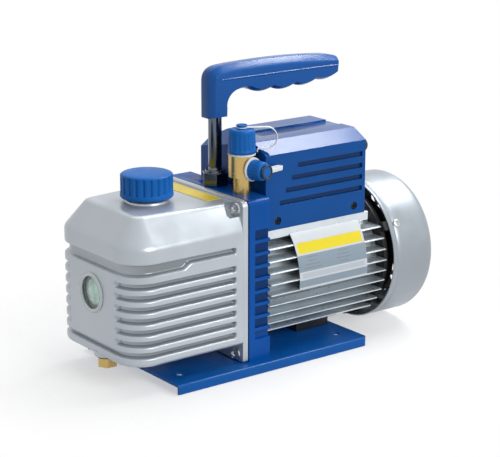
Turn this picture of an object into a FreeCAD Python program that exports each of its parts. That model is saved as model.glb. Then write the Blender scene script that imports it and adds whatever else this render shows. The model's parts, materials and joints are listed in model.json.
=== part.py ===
"""Two-stage rotary vane vacuum pump with its induction motor.

The pump head is a ribbed oil case with a sight glass, bolted to a cast bracket that also
carries the motor. Inside the case two vane stages sit on the motor shaft. The frame has its
origin at the middle of the base, +X from the sight glass towards the fan cowl and +Z up.
"""

import FreeCAD, Part
import Sketcher
import math
import os

doc = FreeCAD.newDocument("vacuum_pump")
sheet = doc.addObject("Spreadsheet::Sheet", "dims")

# Driving dimensions in millimetres. Lengths along X are measured from case_front.
DIMENSIONS = {
    # base channel
    "base_start": 37.3,
    "base_end": 237.9,
    "base_half": 69.0,
    "base_top": 8.0,
    "base_sheet": 2.0,
    "base_bend": 2.5,
    "base_corner": 4.5,
    "base_hole": 3.5,
    "base_hole_half": 46.0,
    "base_hole_front": 54.0,
    "base_hole_rear": 221.0,
    "foot_screw_hole": 3.2,
    "foot_screw_radius": 3.0,
    "foot_screw_head": 5.2,
    "foot_screw_head_tall": 3.2,
    "foot_screw_long": 11.0,
    "foot_screw_bracket_y": 38.0,
    "foot_screw_bracket_x": 127.5,
    "foot_screw_motor_y": 17.0,
    "foot_screw_motor_x": 214.0,
    # oil case
    "case_front": -159.0,
    "case_length": 109.6,
    "case_half": 58.5,
    "case_corner": 24.5,
    "case_bottom": 24.5,
    "case_band_low": 110.1,
    "case_band_top": 122.6,
    "case_top": 145.0,
    "hopper_front": 18.0,
    "hopper_front_half": 39.0,
    "hopper_back_half": 49.5,
    "cavity_front": 6.0,
    "cavity_half": 49.5,
    "cavity_corner": 16.0,
    "cavity_top": 119.0,
    "hopper_cavity_half": 34.0,
    "hopper_cavity_front": 24.0,
    "hopper_cavity_top": 138.0,
    "groove_low": 31.0,
    "groove_pitch": 9.55,
    "groove_height": 6.3,
    "groove_depth": 4.0,
    "top_groove_low": 103.8,
    "top_groove_jog": 4.4,
    "jog_x": 55.0,
    "front_panel_half": 34.0,
    "flange_thick": 5.7,
    "flange_bottom": 8.5,
    "plate_top": 146.75,
    "plate_corner": 5.0,
    "gasket_thick": 0.8,
    "gasket_inset": 1.0,
    # case screws
    "case_screw_y": 49.5,
    "case_screw_low": 14.5,
    "case_screw_high": 139.5,
    "case_screw_radius": 2.5,
    "case_screw_head": 5.0,
    "case_screw_head_tall": 4.5,
    "case_screw_deep": 14.0,
    "case_recess": 7.0,
    "case_recess_long": 12.0,
    # sight glass
    "sight_z": 76.5,
    "bezel_radius": 17.0,
    "bezel_proud": 2.0,
    "bezel_bore": 11.0,
    "sight_seat": 15.5,
    "sight_seat_deep": 4.5,
    "lens_radius": 13.3,
    "lens_front": 0.3,
    "lens_thick": 3.2,
    # drain plug
    "drain_x": 10.5,
    "drain_y": -5.0,
    "drain_boss": 11.0,
    "drain_boss_low": 22.6,
    "drain_flats": 15.0,
    "drain_head_low": 13.2,
    "drain_washer_radius": 9.0,
    "drain_washer_thick": 1.2,
    "drain_thread": 5.0,
    "drain_thread_top": 33.0,
    # exhaust cap and filter
    "cap_x": 55.0,
    "cap_radius": 22.0,
    "cap_rim": 4.0,
    "cap_bottom": 148.6,
    "cap_shoulder": 165.5,
    "cap_top": 170.0,
    "cap_stem": 13.6,
    "cap_stem_low": 139.0,
    "cap_stem_wall": 4.0,
    "cap_vent_deep": 18.0,
    "flute_radius": 1.1,
    "neck_radius": 18.0,
    "neck_top": 147.0,
    "neck_bore": 14.0,
    "filter_radius": 17.0,
    "filter_low": 108.0,
    "filter_top": 137.6,
    # bracket
    "bracket_end": 137.9,
    "bracket_plate": 6.0,
    "bracket_core_half": 55.5,
    "bracket_fin_half": 58.2,
    "bracket_fin_low": 33.5,
    "bracket_fin_pitch": 10.85,
    "bracket_fin_thick": 2.8,
    "bracket_head_low": 120.9,
    "bracket_foot_top": 26.5,
    "passage_y": -18.0,
    # shaft line
    "axis_z": 68.6,
    "shaft_radius": 7.5,
    "running_gap": 0.05,
    "shaft_start": 66.0,
    "shaft_step": 281.0,
    "shaft_end": 303.0,
    "shaft_tail": 5.0,
    "seal_radius": 14.0,
    "seal_long": 7.0,
    # vane stages
    "block_half": 37.0,
    "block_rise": 35.5,
    "stage_one_start": 92.1,
    "centre_plate_start": 87.1,
    "stage_two_start": 71.1,
    "front_plate_start": 65.1,
    "chamber_radius": 26.05,
    "chamber_drop": 4.0,
    "rotor_radius": 22.0,
    "end_gap": 0.1,
    "vane_thick": 2.94,
    "slot_thick": 3.0,
    "slot_floor": 8.2,
    "vane_inner": 11.6,
    "vane_outer": 21.9,
    "spring_radius": 1.0,
    "spring_wire": 0.28,
    "pump_bolt_y": 31.0,
    "pump_bolt_rise": 29.5,
    "pump_bolt_radius": 2.5,
    "pump_bolt_gap": 0.25,
    "pump_bolt_head": 4.25,
    "pump_bolt_head_long": 5.0,
    "pump_bolt_deep": 12.0,
    "reed_long": 30.0,
    "reed_wide": 11.0,
    "reed_thick": 0.4,
    "reed_gap": 1.6,
    "stop_thick": 1.2,
    "valve_port": 2.0,
    # bearings
    "bearing_wide": 11.0,
    "bearing_radius": 17.5,
    "race_inner": 10.5,
    "race_outer": 14.5,
    "ball_pitch": 12.5,
    "ball_radius": 2.9,
    "race_groove": 3.0,
    # motor
    "motor_end": 266.0,
    "motor_bore": 42.0,
    "motor_core": 48.0,
    "fin_reach": 60.5,
    "fin_thick": 2.6,
    "fin_pitch": 9.4,
    "fin_top": 99.0,
    "pad_half": 46.0,
    "pad_low": 106.0,
    "pad_top": 113.9,
    "pad_end": 256.0,
    "foot_start": 196.0,
    "foot_end": 232.0,
    "foot_half": 22.0,
    "foot_rise": 22.0,
    "stack_start": 160.0,
    "stack_end": 235.0,
    "stack_inner": 26.0,
    "squirrel_radius": 25.6,
    "stator_slot": 2.4,
    "stator_slot_end": 33.0,
    "coil_taper": 2.0,
    "coil_inner": 28.0,
    "coil_outer": 39.0,
    "coil_long": 13.0,
    "tie_circle": 45.0,
    "tie_radius": 1.9,
    "tie_gap": 0.1,
    "tie_head": 3.4,
    "tie_head_tall": 3.0,
    "tie_head_gap": 0.3,
    "tie_seat": 3.0,
    "tie_deep": 9.0,
    # end shield, fan and cowl
    "shield_radius": 57.5,
    "shield_rim": 4.0,
    "shield_spigot": 41.95,
    "lug_wide": 8.0,
    "lug_start": 1.0,
    "lug_end": 20.0,
    "fan_start": 281.5,
    "fan_end": 301.0,
    "fan_hub": 13.0,
    "fan_radius": 50.0,
    "fan_plate": 2.0,
    "fan_blade": 2.2,
    "cowl_start": 271.55,
    "cowl_end": 320.0,
    "cowl_radius": 64.4,
    "cowl_wall": 1.5,
    "cowl_round": 7.0,
    "grille_inner": 16.0,
    "grille_outer": 50.0,
    "grille_slot": 4.0,
    "cowl_screw_x": 280.5,
    "cowl_screw_radius": 2.0,
    "cowl_screw_head": 3.8,
    "cowl_screw_head_tall": 1.6,
    # control box
    "box_start": 142.5,
    "box_end": 251.4,
    "box_half": 46.1,
    "box_shoulder": 178.3,
    "box_top": 186.8,
    "box_top_half": 30.3,
    "box_wall": 3.0,
    "box_bevel_low": 171.0,
    "box_bevel_back": 160.0,
    "rib_deep": 1.9,
    "rib_tall": 4.2,
    "rib_pitch": 10.05,
    "rib_low": 134.0,
    "rib_start": 157.5,
    "rib_lean": 6.3,
    "rib_end": 247.8,
    "box_screw_front": 155.6,
    "box_screw_rear": 239.3,
    "box_screw_z": 121.0,
    "box_screw_well": 3.4,
    "box_screw_radius": 2.0,
    "capacitor_radius": 15.0,
    "capacitor_start": 150.0,
    "capacitor_end": 214.0,
    "capacitor_y": 18.0,
    "capacitor_z": 136.0,
    # gland and switch on the rear of the box
    "gland_y": -28.0,
    "gland_z": 169.0,
    "gland_bore": 3.4,
    "gland_thread": 6.0,
    "gland_flats": 16.0,
    "gland_nut": 5.0,
    "gland_dome": 6.8,
    "gland_reach": 14.0,
    "switch_y": 14.0,
    "switch_z": 150.0,
    "switch_half": 11.0,
    "switch_rise": 15.0,
    "switch_flange": 1.8,
    "switch_deep": 18.0,
    "well_half": 7.4,
    "well_rise": 10.7,
    "rocker_half": 7.0,
    "rocker_rise": 9.5,
    "rocker_pin": 1.3,
    "rocker_pin_reach": 1.0,
    # handle
    "post_x": 127.8,
    "post_y": 5.0,
    "post_radius": 5.75,
    "post_low": 134.0,
    "post_top": 226.0,
    "nut_flats": 20.0,
    "nut_top": 158.0,
    "nut_ring": 8.6,
    "nut_ring_top": 160.0,
    "grip_half": 10.0,
    "grip_front": 117.2,
    "grip_inner": 135.6,
    "grip_low": 205.0,
    "grip_under": 221.6,
    "grip_tip": 257.6,
    "grip_top": 250.0,
    "lobe_rise": 3.0,
    "lobe_swell": 2.9,
    "lobe_pitch": 25.0,
    "lobe_first": 155.5,
    "lobe_middle": 194.0,
    "lobe_arch": 0.00145,
    # inlet fitting
    "inlet_x": 129.0,
    "inlet_y": -31.0,
    "inlet_neck": 7.5,
    "inlet_body": 11.3,
    "inlet_body_low": 161.0,
    "inlet_body_top": 179.0,
    "port_radius": 4.6,
    "port_bore": 2.6,
    "port_long": 11.5,
    "side_port_z": 168.3,
    "side_port_angle": 11.0,
    "side_port_start": 11.4,
    "side_arm": 7.0,
    "ring_radius": 11.6,
    "side_ring_radius": 10.0,
    "ring_thick": 1.6,
    "port_cap_radius": 11.8,
    "side_cap_radius": 8.6,
    "port_cap_gap": 0.35,
    "top_cap_long": 20.0,
    "side_cap_long": 12.0,
    "button_radius": 2.0,
    "button_long": 3.4,
    "button_head": 4.7,
    "side_button_head": 6.2,
    "strap_wide": 4.0,
    "strap_thick": 1.0,
    "top_strap_low": 2.6,
    "top_strap_angle": 30.0,
    "strap_gap": 0.4,
    "side_strap_low": 8.0,
    "top_strap_reach": 7.5,
    "side_strap_reach": 10.0,
    # labels
    "plate_start": 168.0,
    "plate_end": 243.0,
    "plate_thick": 0.4,
    "plate_low_angle": -6.5,
    "plate_sweep": 47.0,
    "caution_start": 92.0,
    "caution_end": 107.0,
    "caution_low_y": -32.0,
    "caution_high_y": 38.0,
    "caution_thick": 0.3,
}


class Size:
    """A length that carries its number and the sheet expression that gives it."""

    def __init__(self, value, text):
        self.value = float(value)
        self.text = text

    def __add__(self, other):
        other = size(other)
        return Size(self.value + other.value, f"({self.text} + {other.text})")

    def __sub__(self, other):
        other = size(other)
        return Size(self.value - other.value, f"({self.text} - {other.text})")

    def __mul__(self, factor):
        factor = size(factor)
        return Size(self.value * factor.value, f"({self.text} * {factor.text})")

    def __neg__(self):
        return Size(-self.value, f"(0 - {self.text})")

    __radd__ = __add__
    __rmul__ = __mul__

    def __rsub__(self, other):
        return size(other) - self


def size(value):
    """Any number as a Size."""
    if isinstance(value, Size):
        return value
    return Size(value, f"{float(value):.6f}" if value >= 0 else f"(0 - {-float(value):.6f})")


for row, (alias, value) in enumerate(DIMENSIONS.items(), 1):
    sheet.set(f"B{row}", str(value))
    sheet.setAlias(f"B{row}", alias)
doc.recompute()


class Dims:
    """The sheet's cells by alias, as Sizes."""

    def __getattr__(self, alias):
        return Size(DIMENSIONS[alias], f"dims.{alias}")


d = Dims()
ZERO = size(0)
TURN = {
    "z": FreeCAD.Rotation(),
    "x": FreeCAD.Rotation(FreeCAD.Vector(0, 1, 0), 90),
    "y": FreeCAD.Rotation(FreeCAD.Vector(1, 0, 0), -90),
}
# counts and angles that the sheet's lengths don't carry
LUG_ANGLES = (30, 150, 270)
FLUTES = 22
CASE_RIBS = 6
BRACKET_FINS = 8
MOTOR_FINS = 9
STATOR_SLOTS = 24
FAN_BLADES = 8
LOBES = 4
LOBE_STEPS = 8
parts = []
count = 0


def along(length):
    """A place on the X axis, given its distance behind the front of the oil case."""
    return d.case_front + length


def unique(word):
    """A document name for a helper shape."""
    global count
    count += 1
    return f"{word}_{count}"


def bind(thing, prop, length):
    """Drive one property of a document object from the sheet."""
    thing.setExpression(prop, size(length).text)


def place(thing, at, rotation=TURN["z"]):
    """Turn an object, then hold its place to the sheet."""
    at = [size(v) for v in at]
    thing.Placement = FreeCAD.Placement(FreeCAD.Vector(*[v.value for v in at]), rotation)
    for letter, length in zip("xyz", at):
        bind(thing, f"Placement.Base.{letter}", length)
    return thing


def part(label, thing):
    """Name a finished piece, which is written to its own file."""
    thing.Label = label
    parts.append(thing)
    return thing


def box(low, high):
    """A block between two corners."""
    block = doc.addObject("Part::Box", unique("block"))
    for prop, a, b in zip(("Length", "Width", "Height"), low, high):
        bind(block, prop, size(b) - size(a))
    return place(block, low)


def rod(radius, length, at, axis="z", rotation=None):
    """A cylinder from a point along an axis."""
    cylinder = doc.addObject("Part::Cylinder", unique("rod"))
    bind(cylinder, "Radius", radius)
    bind(cylinder, "Height", length)
    return place(cylinder, at, rotation or TURN[axis])


def ball(radius, at):
    """A sphere."""
    sphere = doc.addObject("Part::Sphere", unique("ball"))
    bind(sphere, "Radius", radius)
    return place(sphere, at)


def hexagon(flats, height, at, axis="z", rotation=None):
    """A hexagonal prism, given the distance across its flats."""
    prism = doc.addObject("Part::Prism", unique("hexagon"))
    prism.Polygon = 6
    bind(prism, "Circumradius", size(flats) * (1 / math.sqrt(3)))
    bind(prism, "Height", height)
    return place(prism, at, rotation or TURN[axis])


def fuse(*pieces):
    """One solid from several."""
    joined = doc.addObject("Part::MultiFuse", unique("fuse"))
    joined.Shapes = list(pieces)
    joined.Refine = True
    return joined


def cut(base, *tools):
    """A solid less some others."""
    left = doc.addObject("Part::Cut", unique("cut"))
    left.Base = base
    left.Tool = tools[0] if len(tools) == 1 else group(*tools)
    left.Refine = True
    return left


def common(one, other):
    """What two solids share."""
    shared = doc.addObject("Part::Common", unique("common"))
    shared.Base = one
    shared.Tool = other
    return shared


def group(*pieces):
    """Separate solids in one object."""
    together = doc.addObject("Part::Compound", unique("group"))
    together.Links = list(pieces)
    return together


def copy(thing, offset=(0, 0, 0), rotation=TURN["z"], about=(0, 0, 0)):
    """The same solid again, turned about a point and moved by an offset."""
    twin = doc.addObject("Part::Compound", unique("twin"))
    twin.Links = [thing]
    offset = [size(v) for v in offset]
    about = [size(v) for v in about]
    turned = rotation.multVec(FreeCAD.Vector(*[v.value for v in about]))
    at = [a - r + o for a, r, o in zip(about, (turned.x, turned.y, turned.z), offset)]
    return place(twin, at, rotation)


def sketch_outline(body, plane, outline):
    """A closed outline of straight lines whose corners are held to the sheet."""
    sketch = body.newObject("Sketcher::SketchObject", unique("sketch"))
    origin = [f for f in body.Origin.OriginFeatures if f.Role == f"{plane}_Plane"][0]
    sketch.AttachmentSupport = [(origin, "")]
    sketch.MapMode = "FlatFace"
    outline = [(size(a), size(b)) for a, b in outline]
    points = [FreeCAD.Vector(a.value, b.value, 0) for a, b in outline]
    total = len(points)
    for i in range(total):
        sketch.addGeometry(Part.LineSegment(points[i], points[(i + 1) % total]), False)
    for i in range(total):
        sketch.addConstraint(Sketcher.Constraint("Coincident", i, 2, (i + 1) % total, 1))
    for i, (a, b) in enumerate(outline):
        for kind, length in (("DistanceX", a), ("DistanceY", b)):
            index = sketch.addConstraint(Sketcher.Constraint(kind, -1, 1, i, 1, length.value))
            sketch.setExpression(f"Constraints[{index}]", length.text)
    return sketch


def prism(plane, outline, length, at=(0, 0, 0), middle=False):
    """A body whose outline on one plane is drawn out to a length."""
    body = doc.addObject("PartDesign::Body", unique("body"))
    sketch = sketch_outline(body, plane, outline)
    pad = body.newObject("PartDesign::Pad", unique("pad"))
    pad.Profile = sketch
    bind(pad, "Length", length)
    pad.Midplane = middle
    doc.recompute()
    return place(body, at)


def turned(outline, at, axis="z", rotation=None):
    """A body of revolution from its radius and height outline."""
    body = doc.addObject("PartDesign::Body", unique("turned"))
    sketch = sketch_outline(body, "XZ", outline)
    spin = body.newObject("PartDesign::Revolution", unique("spin"))
    spin.Profile = sketch
    spin.ReferenceAxis = (sketch, ["V_Axis"])
    spin.Angle = 360
    doc.recompute()
    return place(body, at, rotation or TURN[axis])


def round_off(body, radius, wanted, kind="Fillet"):
    """Round, or chamfer, the edges of a body that the test picks by middle and direction."""
    base = body.Tip
    picked = []
    for index, edge in enumerate(base.Shape.Edges, 1):
        ends = [v.Point for v in edge.Vertexes]
        middle = edge.valueAt((edge.FirstParameter + edge.LastParameter) / 2)
        line = (ends[-1] - ends[0]) if len(ends) > 1 else FreeCAD.Vector()
        if wanted(middle, line):
            picked.append(f"Edge{index}")
    feature = body.newObject(f"PartDesign::{kind}", unique(kind.lower()))
    feature.Base = (base, picked)
    bind(feature, "Radius" if kind == "Fillet" else "Size", radius)
    doc.recompute()
    return body


def upright(line):
    """True for an edge that runs along Z."""
    return abs(line.z) > 0.99 * max(line.Length, 1e-9) and line.Length > 1e-6


def lengthwise(line):
    """True for an edge that runs along X."""
    return abs(line.x) > 0.99 * max(line.Length, 1e-9) and line.Length > 1e-6


def rectangle(low, high):
    """The four corners of a rectangle."""
    return [(low[0], low[1]), (high[0], low[1]), (high[0], high[1]), (low[0], high[1])]


def screw(radius, length, head, head_tall, at, axis="z", rotation=None):
    """A screw from its head's seat: the shank runs along the axis, the head behind it."""
    outline = [(0, -head_tall), (head, -head_tall), (head, 0), (radius, 0), (radius, length),
               (0, length)]
    return turned(outline, at, axis, rotation)


# ---------------------------------------------------------------- base channel
def build_base():
    low = d.base_top - d.base_sheet
    section = [
        (-d.base_half, 0), (-d.base_half + d.base_sheet, 0), (-d.base_half + d.base_sheet, low),
        (d.base_half - d.base_sheet, low), (d.base_half - d.base_sheet, 0), (d.base_half, 0),
        (d.base_half, d.base_top), (-d.base_half, d.base_top),
    ]
    channel = prism("YZ", section, d.base_end - d.base_start, (along(d.base_start), 0, 0))
    bend_y = d.base_half.value
    round_off(channel, d.base_bend,
              lambda m, e: lengthwise(e) and abs(m.y) > bend_y - 0.1 and m.z > low.value)
    plan = prism("XY", rectangle((along(d.base_start), -d.base_half),
                                 (along(d.base_end), d.base_half)), d.base_top)
    round_off(plan, d.base_corner, lambda m, e: upright(e) and m.x > 0)
    sheet_metal = common(channel, plan)
    holes = [rod(d.base_hole, d.base_top, (along(x), y, 0))
             for x in (d.base_hole_front, d.base_hole_rear)
             for y in (d.base_hole_half, -d.base_hole_half)]
    holes += [rod(d.foot_screw_hole, d.base_top, (x, y, 0)) for x, y in foot_screw_places()]
    part("base_plate", cut(sheet_metal, *holes))


def foot_screw_places():
    """Where the bracket and the motor foot are screwed down through the base."""
    return [(along(x), y * side)
            for x, y in ((d.foot_screw_bracket_x, d.foot_screw_bracket_y),
                         (d.foot_screw_motor_x, d.foot_screw_motor_y))
            for side in (1, -1)]


def build_base_screws():
    head = d.foot_screw_head_tall
    seat = d.base_top - d.base_sheet
    screws = [screw(d.foot_screw_radius, d.foot_screw_long, d.foot_screw_head, head,
                    (x, y, seat)) for x, y in foot_screw_places()]
    part("base_screws", group(*screws))


# ---------------------------------------------------------------- oil case
def case_prism(inset, low, high):
    """The case's plan, with its rounded front corners, drawn between two heights."""
    body = prism("XY", rectangle((along(inset), -d.case_half + inset),
                                 (along(d.case_length), d.case_half - inset)),
                 size(high) - low, (0, 0, low))
    return round_off(body, d.case_corner - inset,
                     lambda m, e: upright(e) and m.x < d.case_front.value + 20)


def case_hopper():
    """The bevelled top, which narrows from the case's plan to a smaller flat."""
    body = doc.addObject("PartDesign::Body", unique("hopper"))
    lower = sketch_outline(body, "XY", rectangle((along(0), -d.case_half),
                                                 (along(d.case_length), d.case_half)))
    flat = [(along(d.hopper_front), -d.hopper_front_half),
            (along(d.case_length), -d.hopper_back_half),
            (along(d.case_length), d.hopper_back_half),
            (along(d.hopper_front), d.hopper_front_half)]
    upper = sketch_outline(body, "XY", flat)
    rise = (d.case_top - d.case_band_top).text
    upper.setExpression("AttachmentOffset.Base.z", rise)
    loft = body.newObject("PartDesign::AdditiveLoft", unique("loft"))
    loft.Profile = lower
    loft.Sections = [upper]
    loft.Ruled = True
    doc.recompute()
    place(body, (0, 0, d.case_band_top))
    return common(body, case_prism(0, d.case_band_top, d.case_top))


def build_case():
    ribs = [box((along(-1), -d.case_half, d.case_bottom),
                (along(d.case_length), d.case_half, d.groove_low))]
    for i in range(CASE_RIBS):
        low = d.groove_low + d.groove_pitch * i + d.groove_height
        ribs.append(box((along(-1), -d.case_half, low),
                        (along(d.case_length), d.case_half,
                         d.groove_low + d.groove_pitch * (i + 1))))
    shoulder = d.groove_low + d.groove_pitch * CASE_RIBS + d.groove_height
    jog = d.top_groove_low - d.top_groove_jog
    ribs.append(box((along(-1), -d.case_half, shoulder), (along(d.case_length), d.case_half, jog)))
    ribs.append(box((along(d.jog_x), -d.case_half, jog),
                    (along(d.case_length), d.case_half, d.top_groove_low)))
    ribs.append(box((along(-1), -d.case_half, d.case_band_low),
                    (along(d.case_length), d.case_half, d.case_band_top)))
    ribbed = common(case_prism(0, d.case_bottom, d.case_band_top), fuse(*ribs))
    core = case_prism(d.groove_depth, d.case_bottom, d.case_band_top)
    panel = box((along(0), -d.front_panel_half, d.groove_low + d.groove_height),
                (along(d.cavity_front), d.front_panel_half, jog))
    flange = prism("YZ", rectangle((-d.case_half, d.flange_bottom), (d.case_half, d.plate_top)),
                   d.flange_thick, (along(d.case_length), 0, 0))
    round_off(flange, d.plate_corner, lambda m, e: lengthwise(e))
    neck = rod(d.neck_radius, d.neck_top - d.hopper_cavity_top,
               (along(d.cap_x), 0, d.hopper_cavity_top))
    boss = rod(d.drain_boss, d.groove_low - d.drain_boss_low,
               (along(d.drain_x), d.drain_y, d.drain_boss_low))
    boss = common(boss, case_prism(1, d.drain_boss_low, d.groove_low))
    solid = fuse(core, ribbed, panel, case_hopper(), flange, neck, boss)

    rear = along(d.case_length + d.flange_thick + 1)
    cavity = prism("XY", rectangle((along(d.cavity_front), -d.cavity_half),
                                   (rear, d.cavity_half)),
                   d.cavity_top - d.groove_low, (0, 0, d.groove_low))
    round_off(cavity, d.cavity_corner,
              lambda m, e: upright(e) and m.x < d.case_front.value + 20)
    attic = box((along(d.hopper_cavity_front), -d.hopper_cavity_half, d.cavity_top - 1),
                (rear, d.hopper_cavity_half, d.hopper_cavity_top))
    sight_seat = rod(d.sight_seat, d.sight_seat_deep, (along(0), 0, d.sight_z), "x")
    sight_bore = rod(d.bezel_bore, d.cavity_front + 1, (along(0), 0, d.sight_z), "x")
    neck_bore = rod(d.neck_bore, d.neck_top - d.hopper_cavity_top + 2,
                    (along(d.cap_x), 0, d.hopper_cavity_top - 1))
    drain_bore = rod(d.drain_thread + 0.1, d.drain_thread_top - d.drain_boss_low + 1,
                     (along(d.drain_x), d.drain_y, d.drain_boss_low - 1))
    screw_holes = [rod(d.case_screw_radius + 0.2, d.flange_thick + 2,
                       (along(d.case_length - 1), y, z), "x") for y, z in case_screw_places()]
    recesses = [rod(d.case_recess, d.case_recess_long,
                    (along(d.case_length - d.case_recess_long), d.case_screw_y * side,
                     d.case_screw_high), "x") for side in (-1, 1)]
    part("oil_case", cut(solid, cavity, attic, sight_seat, sight_bore, neck_bore, drain_bore,
                         *screw_holes, *recesses))


def case_screw_places():
    """The four corners of the flange where the case is bolted to the bracket."""
    return [(d.case_screw_y * side, z) for side in (-1, 1)
            for z in (d.case_screw_low, d.case_screw_high)]


def build_gasket_and_screws():
    flange_end = d.case_length + d.flange_thick
    inset = d.gasket_inset
    outer = box((along(flange_end), -d.case_half + inset, d.flange_bottom + inset),
                (along(flange_end + d.gasket_thick), d.case_half - inset, d.plate_top - inset))
    opening = box((along(flange_end - 1), -d.cavity_half, d.groove_low),
                  (along(flange_end + 2), d.cavity_half, d.cavity_top))
    holes = [rod(d.case_screw_radius + 0.2, 3, (along(flange_end - 1), y, z), "x")
             for y, z in case_screw_places()]
    part("case_gasket", cut(outer, opening, *holes))
    length = d.flange_thick + d.gasket_thick + d.case_screw_deep
    screws = []
    for y, z in case_screw_places():
        plain = screw(d.case_screw_radius, length, d.case_screw_head, d.case_screw_head_tall,
                      (along(d.case_length), y, z), "x")
        socket = hexagon(d.case_screw_head, d.case_screw_head_tall * 0.5 + 1,
                         (along(d.case_length - d.case_screw_head_tall - 1), y, z), "x")
        screws.append(cut(plain, socket))
    part("case_screws", group(*screws))


def build_sight_glass():
    centre = (along(0), 0, d.sight_z)
    lens_back = d.lens_front + d.lens_thick
    bezel = [(d.bezel_bore, -d.bezel_proud), (d.bezel_radius, -d.bezel_proud),
             (d.bezel_radius, 0), (d.sight_seat, 0), (d.sight_seat, lens_back),
             (d.lens_radius, lens_back), (d.lens_radius, d.lens_front),
             (d.bezel_bore, d.lens_front)]
    part("sight_glass_bezel", turned(bezel, centre, "x"))
    lens = [(0, d.lens_front), (d.lens_radius, d.lens_front), (d.lens_radius, lens_back),
            (0, lens_back)]
    part("sight_glass_lens", turned(lens, centre, "x"))
    seal = [(d.bezel_bore, lens_back), (d.sight_seat, lens_back),
            (d.sight_seat, d.sight_seat_deep), (d.bezel_bore, d.sight_seat_deep)]
    part("sight_glass_seal", turned(seal, centre, "x"))


def build_drain():
    gap = d.running_gap
    washer_low = d.drain_boss_low - gap - d.drain_washer_thick
    centre = (along(d.drain_x), d.drain_y, 0)
    washer = [(d.drain_thread + gap, washer_low), (d.drain_washer_radius, washer_low),
              (d.drain_washer_radius, washer_low + d.drain_washer_thick),
              (d.drain_thread + gap, washer_low + d.drain_washer_thick)]
    part("drain_washer", turned(washer, centre))
    head = hexagon(d.drain_flats, washer_low - gap - d.drain_head_low,
                   (along(d.drain_x), d.drain_y, d.drain_head_low))
    shank = rod(d.drain_thread, d.drain_thread_top - d.drain_head_low - 1,
                (along(d.drain_x), d.drain_y, d.drain_head_low + 1))
    part("drain_plug", fuse(head, shank))


# ---------------------------------------------------------------- exhaust cap
def build_exhaust():
    centre = (along(d.cap_x), 0, 0)
    gap = d.running_gap
    flange_low = d.cap_bottom
    outline = [(0, d.cap_stem_low), (d.cap_stem, d.cap_stem_low), (d.cap_stem, flange_low),
               (d.cap_radius, flange_low), (d.cap_radius, d.cap_shoulder),
               (d.cap_radius - 3.5, d.cap_top - 1), (d.cap_radius - 8, d.cap_top),
               (0, d.cap_top)]
    cap = turned(outline, centre)
    vents = rod(d.cap_stem - d.cap_stem_wall, d.cap_vent_deep,
                (along(d.cap_x), 0, d.cap_stem_low - 1))
    flutes = []
    flute_foot = flange_low + d.cap_rim
    for i in range(FLUTES):
        angle = 2 * math.pi * (i + 0.5) / FLUTES
        flutes.append(rod(d.flute_radius, d.cap_shoulder - flute_foot,
                          (along(d.cap_x) + d.cap_radius * math.cos(angle),
                           d.cap_radius * math.sin(angle), flute_foot)))
    part("exhaust_cap", cut(cap, vents, *flutes))
    seal_low = d.neck_top + gap
    seal = [(d.cap_stem + gap, seal_low), (d.neck_radius, seal_low),
            (d.neck_radius, flange_low - gap), (d.cap_stem + gap, flange_low - gap)]
    part("exhaust_cap_seal", turned(seal, centre))
    mist = [(6, d.filter_low), (d.filter_radius, d.filter_low), (d.filter_radius, d.filter_top),
            (6, d.filter_top)]
    part("exhaust_filter", turned(mist, centre))


# ---------------------------------------------------------------- bracket
def bracket_start():
    return d.case_length + d.flange_thick + d.gasket_thick


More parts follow.
